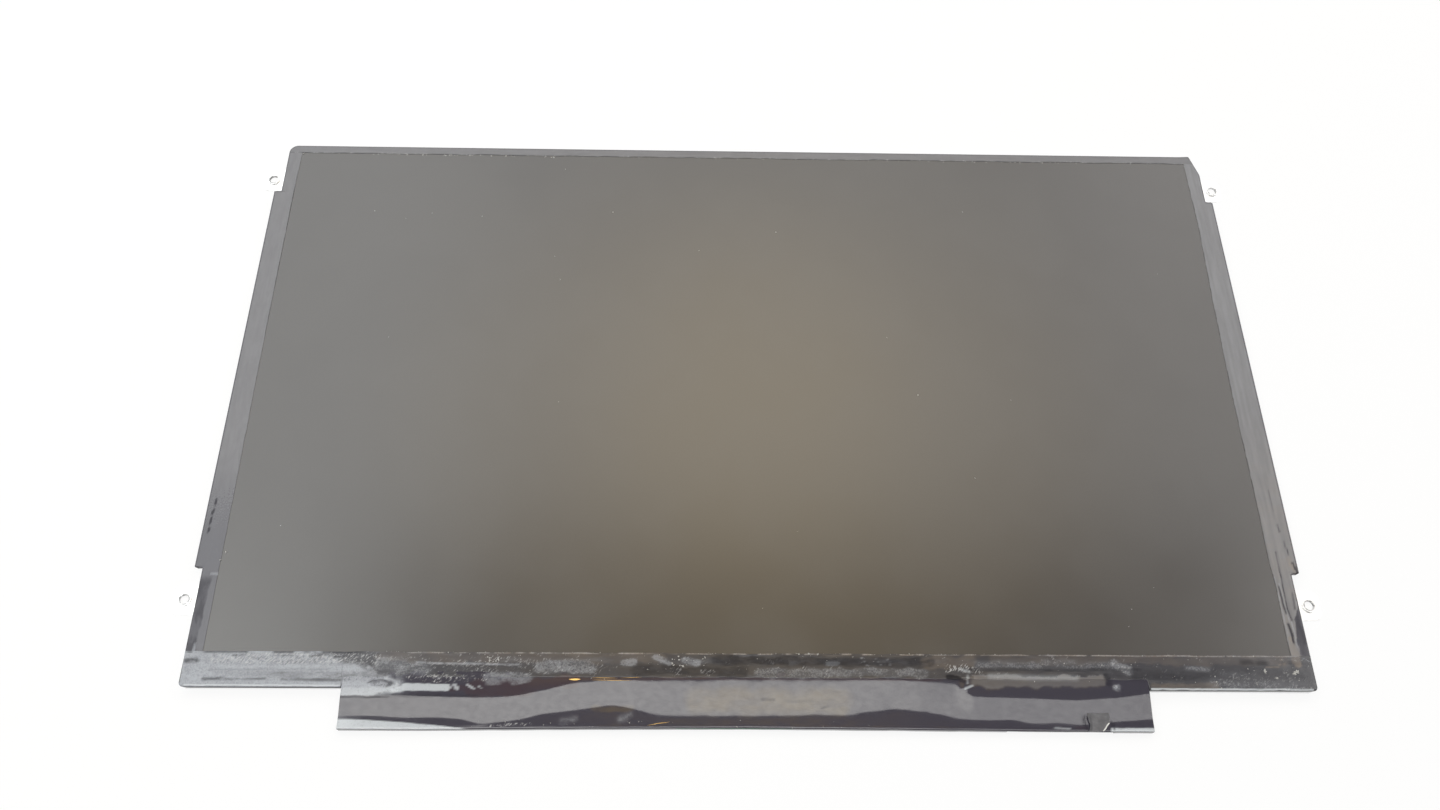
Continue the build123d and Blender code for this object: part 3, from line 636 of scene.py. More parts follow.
def flap_film_shapes(sizes):
    """Flap film: height over x and y, rounded at the bowed fold and run down the front, with a rear panel.

    The rear panel is two flat runs beside the connector, each turned up at the fold, and a flat strip above
    it.
    """
    film, radius = sizes.film / MM, 0.32
    x = np.linspace(*FLAP, 345)
    fold = FILM_LOW[1] + along(x, FOLD_BOW) + 0.03 * rough_noise(x, 0 * x, 6.0, 61)
    fold_z = film_height(x, fold + radius)
    edge = np.stack([x, fold], axis=-1)
    outward = np.tile([0.0, -1.0], (len(x), 1))
    wall_low = BOARD_LOW[2]
    turn = turned_edge(edge, outward, fold_z, radius, fold_z - wall_low)
    run = np.linspace(0, 1, 60)[1:, None]
    top_y = BOTTOM_Y + sizes.flap_cut / MM + 1.4
    plan_y = turn[-1][None, :, 1] * (1 - run) + top_y * run
    plan_x = np.broadcast_to(x, plan_y.shape)
    height = film_height(plan_x, plan_y)
    settle = eased(run * 20)
    height = turn[-1][None, :, 2] * (1 - settle) + height * settle
    front = np.concatenate([turn, np.stack([plan_x, plan_y, height], axis=-1)])
    sheets = [front]
    window = (SHELL_LOW[0] - 1.2, SHELL_HIGH[0] + 1.2)
    window_top = SHELL_HIGH[1] + 1.8
    rear_z, rear_end = FILM_LOW[2], BOTTOM_Y - 0.14
    for low, high in ((FLAP[0], window[0]), (window[1], FLAP[1])):
        columns = np.linspace(low, high, max(6, int((high - low) / 1.2)))
        fold_y = np.interp(columns, x, fold)
        angle = np.linspace(math.pi / 2, 0, 6)[:, None]
        level = np.linspace(0, 1, 8)[:-1, None]
        flat_y = rear_end * (1 - level) + (fold_y + radius)[None] * level
        arc_y = (fold_y + radius)[None] - radius * np.cos(angle)
        arc_z = rear_z + radius * (1 - np.sin(angle))
        rise_y = np.stack([fold_y, fold_y])
        rise_z = np.array([[0.8], [wall_low]]) + 0 * rise_y
        ys = np.concatenate([flat_y, arc_y, rise_y])
        zs = np.concatenate([np.full_like(flat_y, rear_z), arc_z + 0 * arc_y, rise_z])
        sheets.append(np.stack([np.broadcast_to(columns, ys.shape), ys, zs], axis=-1))
    columns = np.linspace(*window, 24)
    strip_y = np.linspace(rear_end, window_top, 6)[:, None] + 0 * columns
    strip_x = np.broadcast_to(columns, strip_y.shape)
    sheets.append(np.stack([strip_x, strip_y, np.full_like(strip_y, rear_z)], axis=-1))
    return front, [shell(sheet, sheet - grid_normals(sheet) * film) for sheet in sheets]


def side_tape_shape(side, sizes):
    """Side tape: an outline along y that steps out over the wing, turned down, filled inwards."""
    box_low, box_high = (LEFT_LOW, LEFT_HIGH) if side < 0 else (RIGHT_LOW, RIGHT_HIGH)
    radius = sizes.edge_radius / MM
    wing = FRAME_HIGH[0] - HALF
    ends = (sizes.wing_bottom / MM, sizes.wing_top / MM)
    sharp = (0.5, 0.25) if side < 0 else (0.7, 0.7)
    near = [np.linspace(end - 1.0, end + 1.0, 41) for end in ends]
    y = np.unique(np.concatenate([np.arange(box_low[1], box_high[1], 0.6), [box_high[1]], *near]))
    step = eased((y - ends[0]) / sharp[0] + 0.5) * eased((ends[1] - y) / sharp[1] + 0.5)
    out_x = HALF + wing * step
    if side > 0:
        fall = np.clip((y - (TOP_Y - sizes.slant_height / MM)) / (sizes.slant_height / MM), 0, 1)
        out_x = out_x - fall * sizes.slant_width / MM
    inner = along(y, LEFT_LINE if side < 0 else RIGHT_LINE) + 0.05 * rough_noise(y, 0 * y, 3.0, 71)
    edge = np.stack([out_x + 0.05, y], axis=-1)
    outward = outward_of(edge)
    top = np.full(len(y), FRONT_Z)
    drop = np.full(len(y), sizes.side_turn / MM)
    turn = turned_edge(edge, outward, top, radius, drop)
    run = 1 - (1 - np.linspace(0, 1, 27)[1:, None]) ** 1.5
    plan_x, plan_y = filled_in(turn, run, inner, y)
    lift = 0.012 * rough_noise(plan_x, plan_y * 0.35, 2.2, 73 + side) * eased(run * 5) * eased((1 - run) * 8)
    outer = np.concatenate([turn, np.stack([plan_x, plan_y, FRONT_Z + lift], axis=-1)])
    outer = np.swapaxes(outer, 0, 1)
    if side < 0:
        outer = outer * np.array([-1.0, 1.0, 1.0])
    else:
        outer = outer[:, ::-1]
    return outer, outer - grid_normals(outer) * sizes.tape / MM


# Inner edges of the side tapes, distance from the middle: y and x in millimetres.
LEFT_LINE = ((-72, 140.7), (-36, 140.8), (-12, 141.0), (18, 141.2), (37, 141.28), (75, 141.28), (88, 141.0))
RIGHT_LINE = ((-72, 140.1), (-66, 139.9), (-53, 140.2), (-45, 139.8), (-30, 140.0), (5, 139.9), (37, 140.4),
              (61, 141.1), (88, 140.8))


def top_tape_shape(sizes):
    """Top tape: an outline along x with a rounded and a slanted corner, turned down."""
    radius, corner = sizes.edge_radius / MM, sizes.corner / MM
    slant = sizes.slant_width / MM
    tall = sizes.slant_height / MM
    right = HALF - slant + (TOP_Y - TOP_LOW[1]) * slant / tall
    x = np.unique(np.concatenate([np.arange(-HALF, HALF - slant, 0.8), -HALF + np.linspace(0, corner, 30),
                                  np.linspace(HALF - slant - 1.0, right, 30)]))
    past = np.clip(-x - (HALF - corner), 0, corner)
    out_y = TOP_Y + 0.05 - corner + np.sqrt(corner ** 2 - past ** 2)
    over = (x - (HALF - slant)) * tall / slant
    soft = 0.35
    out_y = out_y - 0.5 * (over + np.sqrt(over ** 2 + soft ** 2)) + 0.5 * soft * eased((x - HALF + 6) / 4)
    out_y = np.maximum(out_y, TOP_LOW[1] + 0.3)
    inner = TOP_LOW[1] + 0.12 * rough_noise(x, 0 * x, 7.0, 81)
    edge = np.stack([x, out_y], axis=-1)
    outward = -outward_of(edge)
    turn = turned_edge(edge, outward, np.full(len(x), FRONT_Z), radius, np.full(len(x), sizes.side_turn / MM))
    run = np.linspace(0, 1, 12)[1:, None]
    plan_x, plan_y = filled_in(turn, run, x, inner)
    lift = 0.012 * rough_noise(plan_x * 0.35, plan_y, 2.2, 83) * eased(run * 5) * eased((1 - run) * 8)
    outer = np.concatenate([turn, np.stack([plan_x, plan_y, FRONT_Z + lift], axis=-1)])[::-1]
    return outer, outer - grid_normals(outer) * sizes.tape / MM


def patch_shape():
    """Grey patch: on the film, its left edge curled up, its lower right corner torn in a slant."""
    u, v = np.meshgrid(np.linspace(0, 1, 34), np.linspace(0, 1, 30))
    left, right = PATCH_LOW[0], PATCH_HIGH[0]
    low = PATCH_LOW[1] + 0.06 + along(0.5 * (left + right), FOLD_BOW)
    high = PATCH_HIGH[1] + 0.45
    torn = 1.9 * np.clip((0.46 - v) / 0.46, 0, 1) + 0.12 * lattice_noise(v * 5, v * 0, 0.7, 91)
    frayed = 0.05 * lattice_noise(v * 5, v * 0, 0.5, 93)
    x_left = left + 0.35 * eased((0.8 - v) / 0.5) * eased(v / 0.3) + frayed
    x = x_left + u * (right - torn - x_left)
    y = low + v * (high - low) + 0.06 * lattice_noise(x, 0 * x, 0.8, 95)
    curl = 0.55 * eased((0.2 - u) / 0.2) * eased((0.95 - v) / 0.3)
    lifted = 0.25 * eased((u - 0.8) / 0.2) * eased((0.4 - v) / 0.3)
    z = film_height(x, y) + 0.05 + curl + lifted + 0.015 * rough_noise(x, y, 1.4, 97)
    outer = np.stack([x, y, z], axis=-1)
    fields = {"torn": eased((u - 0.86) / 0.1) * eased((0.52 - v) / 0.1)}
    return shell(outer, outer - np.array([0, 0, 0.06])), fields


def strip_shape(x0, x1, y0, y1, width, lift):
    """Thin trace: a narrow strip between two points, tapered at both ends, on the tape and film."""
    u, v = np.meshgrid(np.linspace(0, 1, 60), np.linspace(-1, 1, 5))
    taper = np.sqrt(np.sin(np.pi * np.clip(u, 0.01, 0.99)))
    x = x0 + u * (x1 - x0)
    y = y0 + u * (y1 - y0) + v * taper * width / 2 + 0.05 * lattice_noise(x, 0 * x, 2.0, 101)
    ground = np.maximum(film_height(x, y), np.where(y > -77.4, ledge_height(x, y, 0.0), 0))
    z = ground + lift * (1 - 0.6 * v * v)
    outer = np.stack([x, y, z], axis=-1)
    return shell(outer, outer - np.array([0, 0, 0.03]))


# Groups of flecks: x and y range in millimetres, how many, smallest and largest radius.
FLECK_GROUPS = (
    ((-100, 138), (-71.35, -71.05), 110, 0.05, 0.15),
    ((-88, 138), (-73.4, -71.5), 36, 0.05, 0.14),
    ((-139, 138), (87.35, 87.75), 60, 0.06, 0.17),
    ((-88, 140), (-78.5, -72.5), 60, 0.05, 0.17),
    ((-140, -104), (-79.5, -72.0), 10, 0.04, 0.1),
    ((-69, -64), (-73.8, -71.8), 14, 0.1, 0.3),
    ((-21, -12), (-74.6, -71.7), 16, 0.1, 0.3),
    ((118, 141), (-79.6, -74.0), 30, 0.05, 0.2),
    ((-72, 30), (-89.8, -87.9), 30, 0.05, 0.16),
    ((-138, 136), (-68, 85), 16, 0.07, 0.13),
    ((-118, -101), (87.3, 87.6), 8, 0.12, 0.22),
    ((-97, -87), (87.25, 87.6), 14, 0.12, 0.24),
    ((-86, -73), (87.3, 87.6), 9, 0.12, 0.22),
    ((-64.5, -60), (87.0, 87.6), 9, 0.12, 0.24),
    ((-50, 40), (87.2, 87.6), 6, 0.12, 0.22),
    ((57, 102), (87.2, 87.6), 11, 0.12, 0.22),
)
LARGE_FLECKS = ((132.4, -75.2, 0.5), (135.1, -76.9, 0.35), (140.1, -75.6, 0.5), (140.9, -75.3, 0.5),
                (11.9, -71.3, 0.25), (14.4, -71.2, 0.28), (16.7, -71.3, 0.22), (48.5, 3.7, 0.2),
                (62.4, -21.9, 0.17), (-41.8, 66.3, 0.16), (8.8, 59.5, 0.15), (-140.6, 87.3, 0.3),
                (-139.9, -44.8, 0.25), (-140.9, -47.0, 0.28))


def fleck_shape(sizes):
    """Flecks: a square grid pressed onto a disc and domed, stretched, turned and wrinkled for each one."""
    rng = np.random.default_rng(7)
    places, radii = [], []
    for (x0, x1), (y0, y1), count, small, large in FLECK_GROUPS:
        places.append(np.stack([rng.uniform(x0, x1, count), rng.uniform(y0, y1, count)], axis=-1))
        radii.append(small + (large - small) * rng.random(count) ** 2.5)
    large = np.array(LARGE_FLECKS)
    centre = np.concatenate([*places, large[:, :2]])
    radius = np.concatenate([*radii, large[:, 2]])
    count = len(radius)
    a, b = np.meshgrid(np.linspace(-1, 1, 5), np.linspace(-1, 1, 5))
    disc_x, disc_y = a * np.sqrt(1 - b * b / 2), b * np.sqrt(1 - a * a / 2)
    wrinkle = 1 + 0.35 * rng.standard_normal((count, 5, 5)) * (np.hypot(disc_x, disc_y) > 0.5)
    long = rng.uniform(0.45, 1.0, (count, 1, 1))
    turn = rng.uniform(0, math.pi, (count, 1, 1))
    px, py = disc_x * wrinkle * radius[:, None, None], disc_y * wrinkle * long * radius[:, None, None]
    x = centre[:, 0, None, None] + px * np.cos(turn) - py * np.sin(turn)
    y = centre[:, 1, None, None] + px * np.sin(turn) + py * np.cos(turn)
    dome = (1 - 0.8 * np.hypot(disc_x, disc_y) ** 2) * 0.3 * np.minimum(radius, 0.25)[:, None, None]
    on_tape = (y < TAPE_HIGH[1]) & (y > BOTTOM_Y + sizes.flap_cut / MM)
    beside = (y < TAPE_HIGH[1]) & ((x < FLAP[0]) | (x > FLAP[1]))
    on_film = (y <= BOTTOM_Y + sizes.flap_cut / MM) & ~beside
    rim = (np.abs(x) > 139) | (y > 87.7)
    level = np.where(rim, FRONT_Z, SCREEN_Z)
    ground = np.where(on_tape | beside, ledge_height(x, y, sizes.ledge_dip / MM), level)
    ground = np.where(on_film, film_height(x, y), ground)
    outer = np.stack([x, y, ground + dome + 0.004], axis=-1)
    return join([shell(top, top - np.array([0, 0, 0.03])) for top in outer])


# Marks of each field: the two ends x and y, width and border in millimetres, strength.
MARKS = {
    "scuff": (
        (57.5, -77.8, 89.5, -77.9, 3.0, 0.7, 0.7),
    ),
    "haze_and_sheen": (
        (-146, -77.5, -142.5, -77.5, 6.5, 1.5, 1.0), (-138, -75.05, -102, -75.05, 0.45, 0.3, 1.0),
        (-67.2, -77.7, -58, -77.7, 3.0, 0.8, 0.34), (-54.6, -75.0, -41.4, -75.0, 3.0, 1.0, 0.27),
        (-33, -73.6, -30.7, -73.6, 1.5, 0.8, 0.4), (-25.4, -72.4, -21.4, -74.0, 1.4, 0.7, 0.42),
        (-17.3, -72.9, -14.2, -73.4, 1.9, 0.9, 0.42), (1.4, -76.3, 44.2, -75.9, 2.2, 0.8, 0.19),
        (19.3, -73.6, 21.5, -73.6, 1.2, 0.6, 0.5), (58, -73.9, 74, -74.1, 1.8, 1.6, 0.2),
        (75, -73.6, 92, -74.3, 2.4, 1.8, 0.13), (93.5, -73.5, 96.5, -75.5, 2.2, 1.2, 0.34),
        (119, -78.4, 141.5, -78.9, 2.4, 2.2, 0.14), (112.3, -74.6, 118, -74.6, 1.0, 1.4, 0.26),
        (121, -76.2, 129, -76.4, 1.6, 1.4, 0.09), (-95, -74.4, -84, -75.6, 3.4, 1.5, 0.24),
        # The first mark on the next line is a painted highlight on the bead at the right chip's end.
        (93.2, -79.6, 93.2, -79.6, 1.3, 1.2, 0.85), (-86, -73.9, -60, -74.3, 0.5, 0.4, 0.42),
        (-143, -69.5, -143, -71.2, 0.8, 0.35, 0.95), (-142.7, -50.8, -140.6, -50.8, 0.3, 0.25, 0.7),
        (141.2, -52, 141.75, -62, 0.45, 0.3, 0.35), (140.2, -50, 140.5, -66, 0.4, 0.3, 0.3),
        (142.2, -62, 142.4, -69, 0.35, 0.25, 0.5), (144.6, -56.5, 144.8, -59.5, 0.3, 0.25, 0.35),
        (143.1, -71.7, 144.5, -72.6, 0.2, 0.15, 0.6), (27.8, -71.8, 29.3, -74.2, 0.25, 0.2, 0.5),
        (31.5, -72.2, 33.2, -74.4, 0.25, 0.2, 0.4), (34.6, -72.5, 35.4, -74.3, 0.25, 0.2, 0.4),
        (-48, -88.2, -45, -87.6, 1.2, 2.0, 0.26), (-33.5, -87.8, -31.5, -86.6, 1.4, 2.2, 0.3),
    ),
    # Apart from the very first mark, these are painted highlights: along the top of the film's left end,
    # round the crease by the right chip, along the fold's right end, and along the lower tape's turned edge
    # beside the flap, that last partly rubbed through.
    "pale": (
        (60.8, -76.8, 83, -77.1, 1.2, 1.6, 0.26), (-103.6, -81.2, -92, -81.2, 1.8, 0.7, 0.5),
        (-91.3, -81.0, -88.2, -80.3, 1.5, 0.8, 0.8), (-88.4, -80.15, -77.6, -80.1, 1.8, 0.3, 0.9),
        (-75.9, -79.5, -75.2, -80.4, 0.9, 0.4, 0.7), (-72.4, -79.4, -71, -80.5, 0.5, 0.3, 0.7),
        (-69.6, -79.9, -69.2, -80.3, 0.4, 0.3, 0.6), (54.0, -79.9, 56.3, -79.1, 0.5, 0.35, 0.7),
        (53.2, -75.0, 55.6, -75.7, 0.6, 0.5, 0.45), (55.3, -76.2, 54.9, -78.6, 0.35, 0.3, 0.4),
        (90.8, -90.0, 101.4, -90.1, 1.2, 0.4, 1.0), (102.2, -79.85, 143.8, -79.85, 0.4, 0.2, 0.95),
        (-143.5, -79.8, -104.6, -79.8, 0.35, 0.2, 0.9), (85.2, -90.3, 85.6, -90.3, 0.6, 0.2, 0.8),
        (76, -89.5, 80, -89.7, 0.4, 0.3, 0.5),
    ),
    "residue": (
        (-137, -72.8, -97, -72.9, 3.0, 1.6, 0.8), (-98, -74.5, -74, -75.5, 5.0, 2.0, 0.4),
        (-87, -77.6, -68, -77.8, 2.4, 0.8, 0.5), (-67.4, -72.6, -65.2, -72.8, 1.6, 0.6, 0.9),
        (-70, -74.5, -40, -75, 4.0, 1.5, 0.4), (-19.2, -75.2, -19.2, -76.4, 1.2, 0.5, 0.8),
        (-13, -76, -10.4, -76, 1.4, 0.5, 0.7), (-17.3, -72.3, -16.2, -73.6, 0.9, 0.5, 0.95),
        (1.2, -76.3, 44.6, -75.9, 2.4, 0.7, 0.32), (93.5, -73.5, 96.5, -75.5, 2.0, 0.8, 0.5),
        (119, -77.6, 142.5, -78.2, 4.0, 1.5, 0.42), (-66, -89.5, -56, -88.9, 0.7, 0.5, 0.8),
        (50, -74.6, 58, -75.2, 2.4, 1.5, 0.6), (-96, -73.0, -60, -73.0, 2.0, 1.0, 0.36),
    ),
    "brown": (
        (-95, -72.4, -24, -72.5, 2.6, 0.9, 0.3), (45, -73.2, 56, -73.2, 3.2, 1.2, 0.36),
        (56.5, -78.2, 89.5, -78.2, 3.0, 0.6, 0.3), (62, -72.4, 138, -72.6, 2.4, 1.2, 0.27),
        # The second mark on the next line, over the film's middle, is partly browned film and partly a
        # painted warm reflection; the first mark on the line after is a painted reflection at the peak of the
        # film's dark band.
        (103, -79.1, 119, -79.1, 1.4, 0.9, 0.6), (-14, -83.0, 22, -83.3, 6.0, 4.0, 0.85),
        (-40, -85.2, -31, -84.8, 1.6, 1.2, 0.6), (140.9, -66.5, 141.3, -73.0, 2.0, 0.6, 0.85),
        (141.0, -52, 141.4, -64, 2.4, 1.5, 0.4), (145.2, -44.6, 146.6, -48.4, 1.6, 0.6, 0.9),
        (132.9, -74.1, 136, -74.05, 0.35, 0.25, 0.9), (136.4, -71.0, 137.2, -72.2, 0.3, 0.2, 0.9),
        (137.2, -72.2, 136.6, -73.6, 0.3, 0.2, 0.9), (137.2, -72.2, 138.2, -73.9, 0.3, 0.2, 0.8),
    ),
    "plum": (
        (-71, -80.6, -57, -80.0, 4.4, 0.9, 0.9), (-57, -79.6, -45, -78.3, 2.6, 0.6, 0.9),
        (-45, -78.0, -18, -77.8, 0.8, 0.4, 0.9), (-18, -77.75, 48, -77.75, 0.6, 0.4, 0.8),
        (82, -89.4, 84, -89.4, 0.8, 0.6, 0.6), (-76.6, -80.2, -73, -80.2, 1.6, 0.6, 0.8),
    ),
    "line": (
        (-139.3, -78.3, -134.2, -78.1, 0.8, 0.8, 0.7), (-134, -78.3, -130.5, -78.2, 0.5, 0.5, 0.62),
        (-129.5, -78.3, -123.6, -78.1, 0.6, 0.6, 0.62), (-138, -75.9, -108, -75.7, 0.5, 0.5, 0.3),
        (-133, -72.25, -129.8, -72.15, 0.4, 0.3, 0.7), (-122, -72.3, -117.5, -72.2, 0.4, 0.3, 0.6),
        (-113, -72.35, -110.6, -72.2, 0.5, 0.3, 0.7), (-107, -72.6, -103.8, -72.3, 0.5, 0.3, 0.7),
        (-126, -73.3, -124.6, -73.9, 0.3, 0.25, 0.5), (-116, -73.0, -114.9, -73.6, 0.3, 0.25, 0.5),
        (-104.4, -73.4, -102.8, -74.4, 0.4, 0.3, 0.6), (-101.4, -72.8, -99.6, -74.2, 0.4, 0.3, 0.6),
        (-119.5, -78.2, -112.4, -78.4, 0.65, 0.7, 0.58), (-111.5, -78.3, -104.8, -78.5, 0.75, 0.6, 0.66),
        (-144.4, -73.6, -141.8, -73.3, 1.3, 1.0, 0.75), (-144.2, -75.4, -143.4, -76.4, 0.8, 1.0, 0.3),
        (-136, -76.6, -112, -76.9, 1.4, 1.4, 0.2), (56, -74.9, 100, -75.1, 0.8, 0.6, 0.6),
        # Next line: painted shade in the crease by the right chip, and a painted dark reflection under the
        # highlight strip at the film's left end; the first mark on the line after continues it.
        (50.2, -77.1, 54.2, -78.0, 1.5, 0.5, 0.95), (-95, -82.1, -70, -82.3, 1.0, 0.7, 0.5),
        (-104.5, -82.5, -92, -82.7, 0.5, 0.3, 0.8), (91.0, -76.8, 91.3, -78.6, 1.6, 0.9, 0.8),
        (83.9, -86.6, 84.1, -89.6, 0.9, 0.5, 0.9), (90.9, -88.0, 91.2, -89.6, 1.0, 0.5, 0.8),
        (2.2, -82.8, 5.0, -82.8, 0.8, 0.7, 0.5), (17.2, -84.9, 19.2, -84.2, 0.6, 0.5, 0.45),
        (8, -83.2, 15, -83.0, 0.9, 0.9, 0.25), (127, -72.9, 133, -73.4, 1.6, 1.8, 0.6),
        (-30, -75.6, -2, -75.8, 2.6, 1.2, 0.62), (-10, -73.0, 46, -73.2, 2.4, 1.2, 0.72),
        (98, -76.8, 121, -76.6, 2.4, 3.0, 0.5), (120, -75.6, 143, -76.4, 5.0, 3.0, 0.36),
        (142.2, -43, 142.0, -58.5, 0.4, 0.3, 0.8), (142.0, -58.5, 142.5, -61.8, 0.5, 0.3, 0.9),
        (140.9, -52.5, 141.3, -59.7, 0.6, 0.3, 0.85), (141.25, -63, 141.65, -67.8, 0.8, 0.3, 0.9),
        (144.1, -54.5, 143.9, -58.8, 0.5, 0.4, 0.8), (146.2, -46.0, 146.9, -48.6, 0.7, 0.35, 0.95),
        (144.4, -35, 144.6, -37.2, 0.45, 0.3, 0.7), (145.0, -40, 145.6, -43.5, 0.35, 0.3, 0.8),
        (144.0, -25, 144.3, -31, 0.3, 0.25, 0.5), (-145.7, -39.2, -145.6, -38.2, 0.7, 0.25, 1.0),
        (-145.6, -37.3, -145.5, -35.4, 0.7, 0.25, 1.0), (-145.4, -34.3, -145.35, -32.6, 0.7, 0.25, 1.0),
        (-145.25, -31.4, -145.2, -30, 0.6, 0.25, 1.0),
    ),
}


def capsule(x, y, x0, y0, x1, y1, width, soft):
    """1 within half a width of the line between two points and 0 beyond, eased over a border."""
    dx, dy = x1 - x0, y1 - y0
    t = np.clip(((x - x0) * dx + (y - y0) * dy) / max(dx * dx + dy * dy, 1e-9), 0, 1)
    return eased((width / 2 - np.hypot(x - x0 - t * dx, y - y0 - t * dy)) / soft + 0.5)


def marked(x, y):
    """Fields of a tape or the film: at each point the strongest mark of the table, its border wavering."""
    waver_x, waver_y = rough_noise(x, y, 2.5, 55), rough_noise(x, y, 2.5, 65)
    fields = {name: np.zeros_like(x) for name in MARKS}
    for name, marks in MARKS.items():
        for *ends, width, soft, strong in marks:
            shift = min(0.2 * width, 0.12 if name == "pale" else 0.5)
            mark = strong * capsule(x + shift * waver_x, y + shift * waver_y, *ends, width, soft)
            raise_field(fields, name, mark)
    return fields


def raise_field(fields, name, value):
    """Raises a field to a value where that is higher."""
    fields[name] = np.maximum(fields[name], value)


def lower_fields(x, y):
    """Fields of the lower tape and the film: the marks, a pale veil over the left end, partly glue and partly
    a painted reflection of the light at the left, with painted reflection bands across it, and crumbs along
    the screen's edge.

    Round the left chip runs a line of painted shade inside a painted highlight. Along the fold's left end
    lies a pale wedge of painted reflection. At the left end a broken line of painted shade runs along the
    screen's edge.
    """
    fields = marked(x, y)
    wobble, fine = rough_noise(x, y, 5.0, 56), rough_noise(x, y, 1.6, 57)
    border = np.interp(y, (-82.5, -81.0, -79.6, -77.3, -75.3, -72.0), (-91, -88, -87.5, -89.5, -97, -107))
    # Pale veil over the left end: partly glue, partly a painted reflection of the light at the left.
    veil_and_sheen = eased((border + 1.4 * wobble + 1.3 * fine + 3.0 - x) / 9.0) * eased((y + 82.4) / 0.4)
    # Painted reflection bands: the veil thinner along the top, in a band lower down and in streaks along x.
    bands = 0.09 * lattice_noise(x * 0.12, y, 0.9, 58) - 0.07 * eased((y + 74.8) / 0.5)
    bands = bands - 0.17 * eased((-75.9 - y) / 0.8) * eased((y + 79.0) / 0.8) * eased((x + 130) / 12)
    raise_field(fields, "haze_and_sheen", veil_and_sheen * (0.92 + 0.05 * fine + bands))
    # Round the left chip: less veil inside, a line of painted shade on its top and right, and a ring of
    # painted highlight outside that.
    chip = np.hypot((x + 94.75) / 2.75, (y + 79.25) / 0.9)
    fields["haze_and_sheen"] = fields["haze_and_sheen"] * (1 - 0.4 * eased((1 - chip) / 0.3))
    outline = np.maximum(eased((y + 79.4) / 0.5), eased((x + 93.4) / 0.8))
    raise_field(fields, "line", 0.95 * np.exp(-((chip - 1) / 0.24) ** 2) * outline)
    raise_field(fields, "pale", 0.5 * np.exp(-((chip - 1.55) / 0.3) ** 2) * eased((x + 95.5) / 3.0))
    # Painted reflection: a pale wedge along the fold's left end.
    wedge = np.interp(x, (-104.2, -96, -88.5, -78.5, -72.5), (-87.75, -88.0, -88.4, -89.35, -90.0))
    wedge = wedge + 0.08 * wobble
    raise_field(fields, "pale", eased((wedge - y) / 0.35) * eased((-71.0 - x) / 3.0))
    brink = eased((y - TAPE_HIGH[1] + 0.42) / 0.25)
    broken = eased(rough_noise(x, 0 * x, 3.0, 60) * 1.4 + 0.45 + eased((x - 40) / 20)) * eased((x + 100) / 12)
    raise_field(fields, "brown", 0.95 * brink * broken)
    raise_field(fields, "haze_and_sheen", 0.28 * brink * broken)
    raise_field(fields, "residue", (0.2 + 0.2 * fine) * (1 - veil_and_sheen) * eased((y + 78.0) / 0.5))
    # Painted shade: a broken dark line along the screen's edge at the left end.
    shade = eased(rough_noise(x, 0 * x, 6.0, 61) * 1.5 + 0.6)
    raise_field(fields, "line", 0.8 * eased((y - TAPE_HIGH[1] + 0.62) / 0.25) * shade * eased((-92 - x) / 8))
    return fields


def add_lower_tape(sizes, colours):
    """Lower tape with its fields, painted shade on the wall of its turned edge."""
    outer, inner = lower_tape_shape(sizes)
    x, y, z = np.moveaxis(outer, -1, 0)
    fields = lower_fields(x, y)
    raise_field(fields, "scuff", 0.12)
    # Painted shade on the turned edge's wall.
    raise_field(fields, "line", eased((FRONT_Z - 0.16 - z) / 0.1))
    finish = worn_finish("lower_tape_worn", colours, colours.tape, colours.glue, 0.2, (7, 1, 1))
    add_piece("lower_ledge_tape_worn", shell(outer, inner), finish, ["lower_ledge_tape"],
              fields)


# Inner border of the clean strip at the lower end of each side tape: y, and distance from the middle.
CLEAN_LEFT = ((-71, 142.4), (-60, 142.3), (-51, 141.9))
CLEAN_RIGHT = ((-71, 142.6), (-68, 142.1), (-63, 142.8), (-61, 143.2), (-58.4, 144.3), (-56.8, 145.1))


def add_side_tapes(sizes, colours):
    """Two side tapes with their fields: greyed, outer edges and lower ends clean, a broken dark line inside.

    The right tape is rubbed in streaks along its length and browns towards its lower end.
    """
    finish = worn_finish("side_tape_worn", colours, colours.film, colours.glue, 0.2, (1, 14, 1))
    for side, name, clean_line in ((-1, "left_side_tape", CLEAN_LEFT), (1, "right_side_tape", CLEAN_RIGHT)):
        outer, inner = side_tape_shape(side, sizes)
        x, y = outer[..., 0], outer[..., 1]
        fields = marked(x, y)
        reach = np.abs(x)
        edge = eased((reach - reach.max(axis=1, keepdims=True) + 0.45) / 0.3)
        clean_from = np.interp(y, *np.array(clean_line).T) + 0.2 * rough_noise(x, y, 1.5, 75)
        clean = eased((-49.0 - y) / 5.0) * eased((reach - clean_from) / 0.5)
        dots = eased(rough_noise(y, 0 * y, 1.6, 79) * 1.3 + 0.55)
        dots = dots if side > 0 else 0.28 * dots * eased((y + 28) / 20)
        brink = eased((reach.min(axis=1, keepdims=True) + 0.2 - reach) / 0.12)
        tired = 1 - 0.75 * eased((-8 - y) / 40) * (side < 0)
        rubbed = lattice_noise(x, y * 0.06, 0.8, 76) + 0.6 * lattice_noise(x, y * 0.1, 0.45, 77)
        raise_field(fields, "scuff", (1 - 0.9 * edge) * (1 - clean) * tired)
        if side > 0:
            raise_field(fields, "pale", (0.075 + 0.045 * rubbed) * (1 - edge) * (1 - clean))
            raise_field(fields, "brown", (0.3 + 0.15 * rubbed) * eased((15 - y) / 60) * (1 - clean))
        raise_field(fields, "line", np.maximum(np.maximum(0.5 * edge, 0.75 * clean), 0.7 * brink * dots))
        raise_field(fields, "line", 0.26 * eased((-14 - y) / 30) * (side < 0))
        add_piece(name + "_worn", shell(outer, inner), finish, [name], fields)


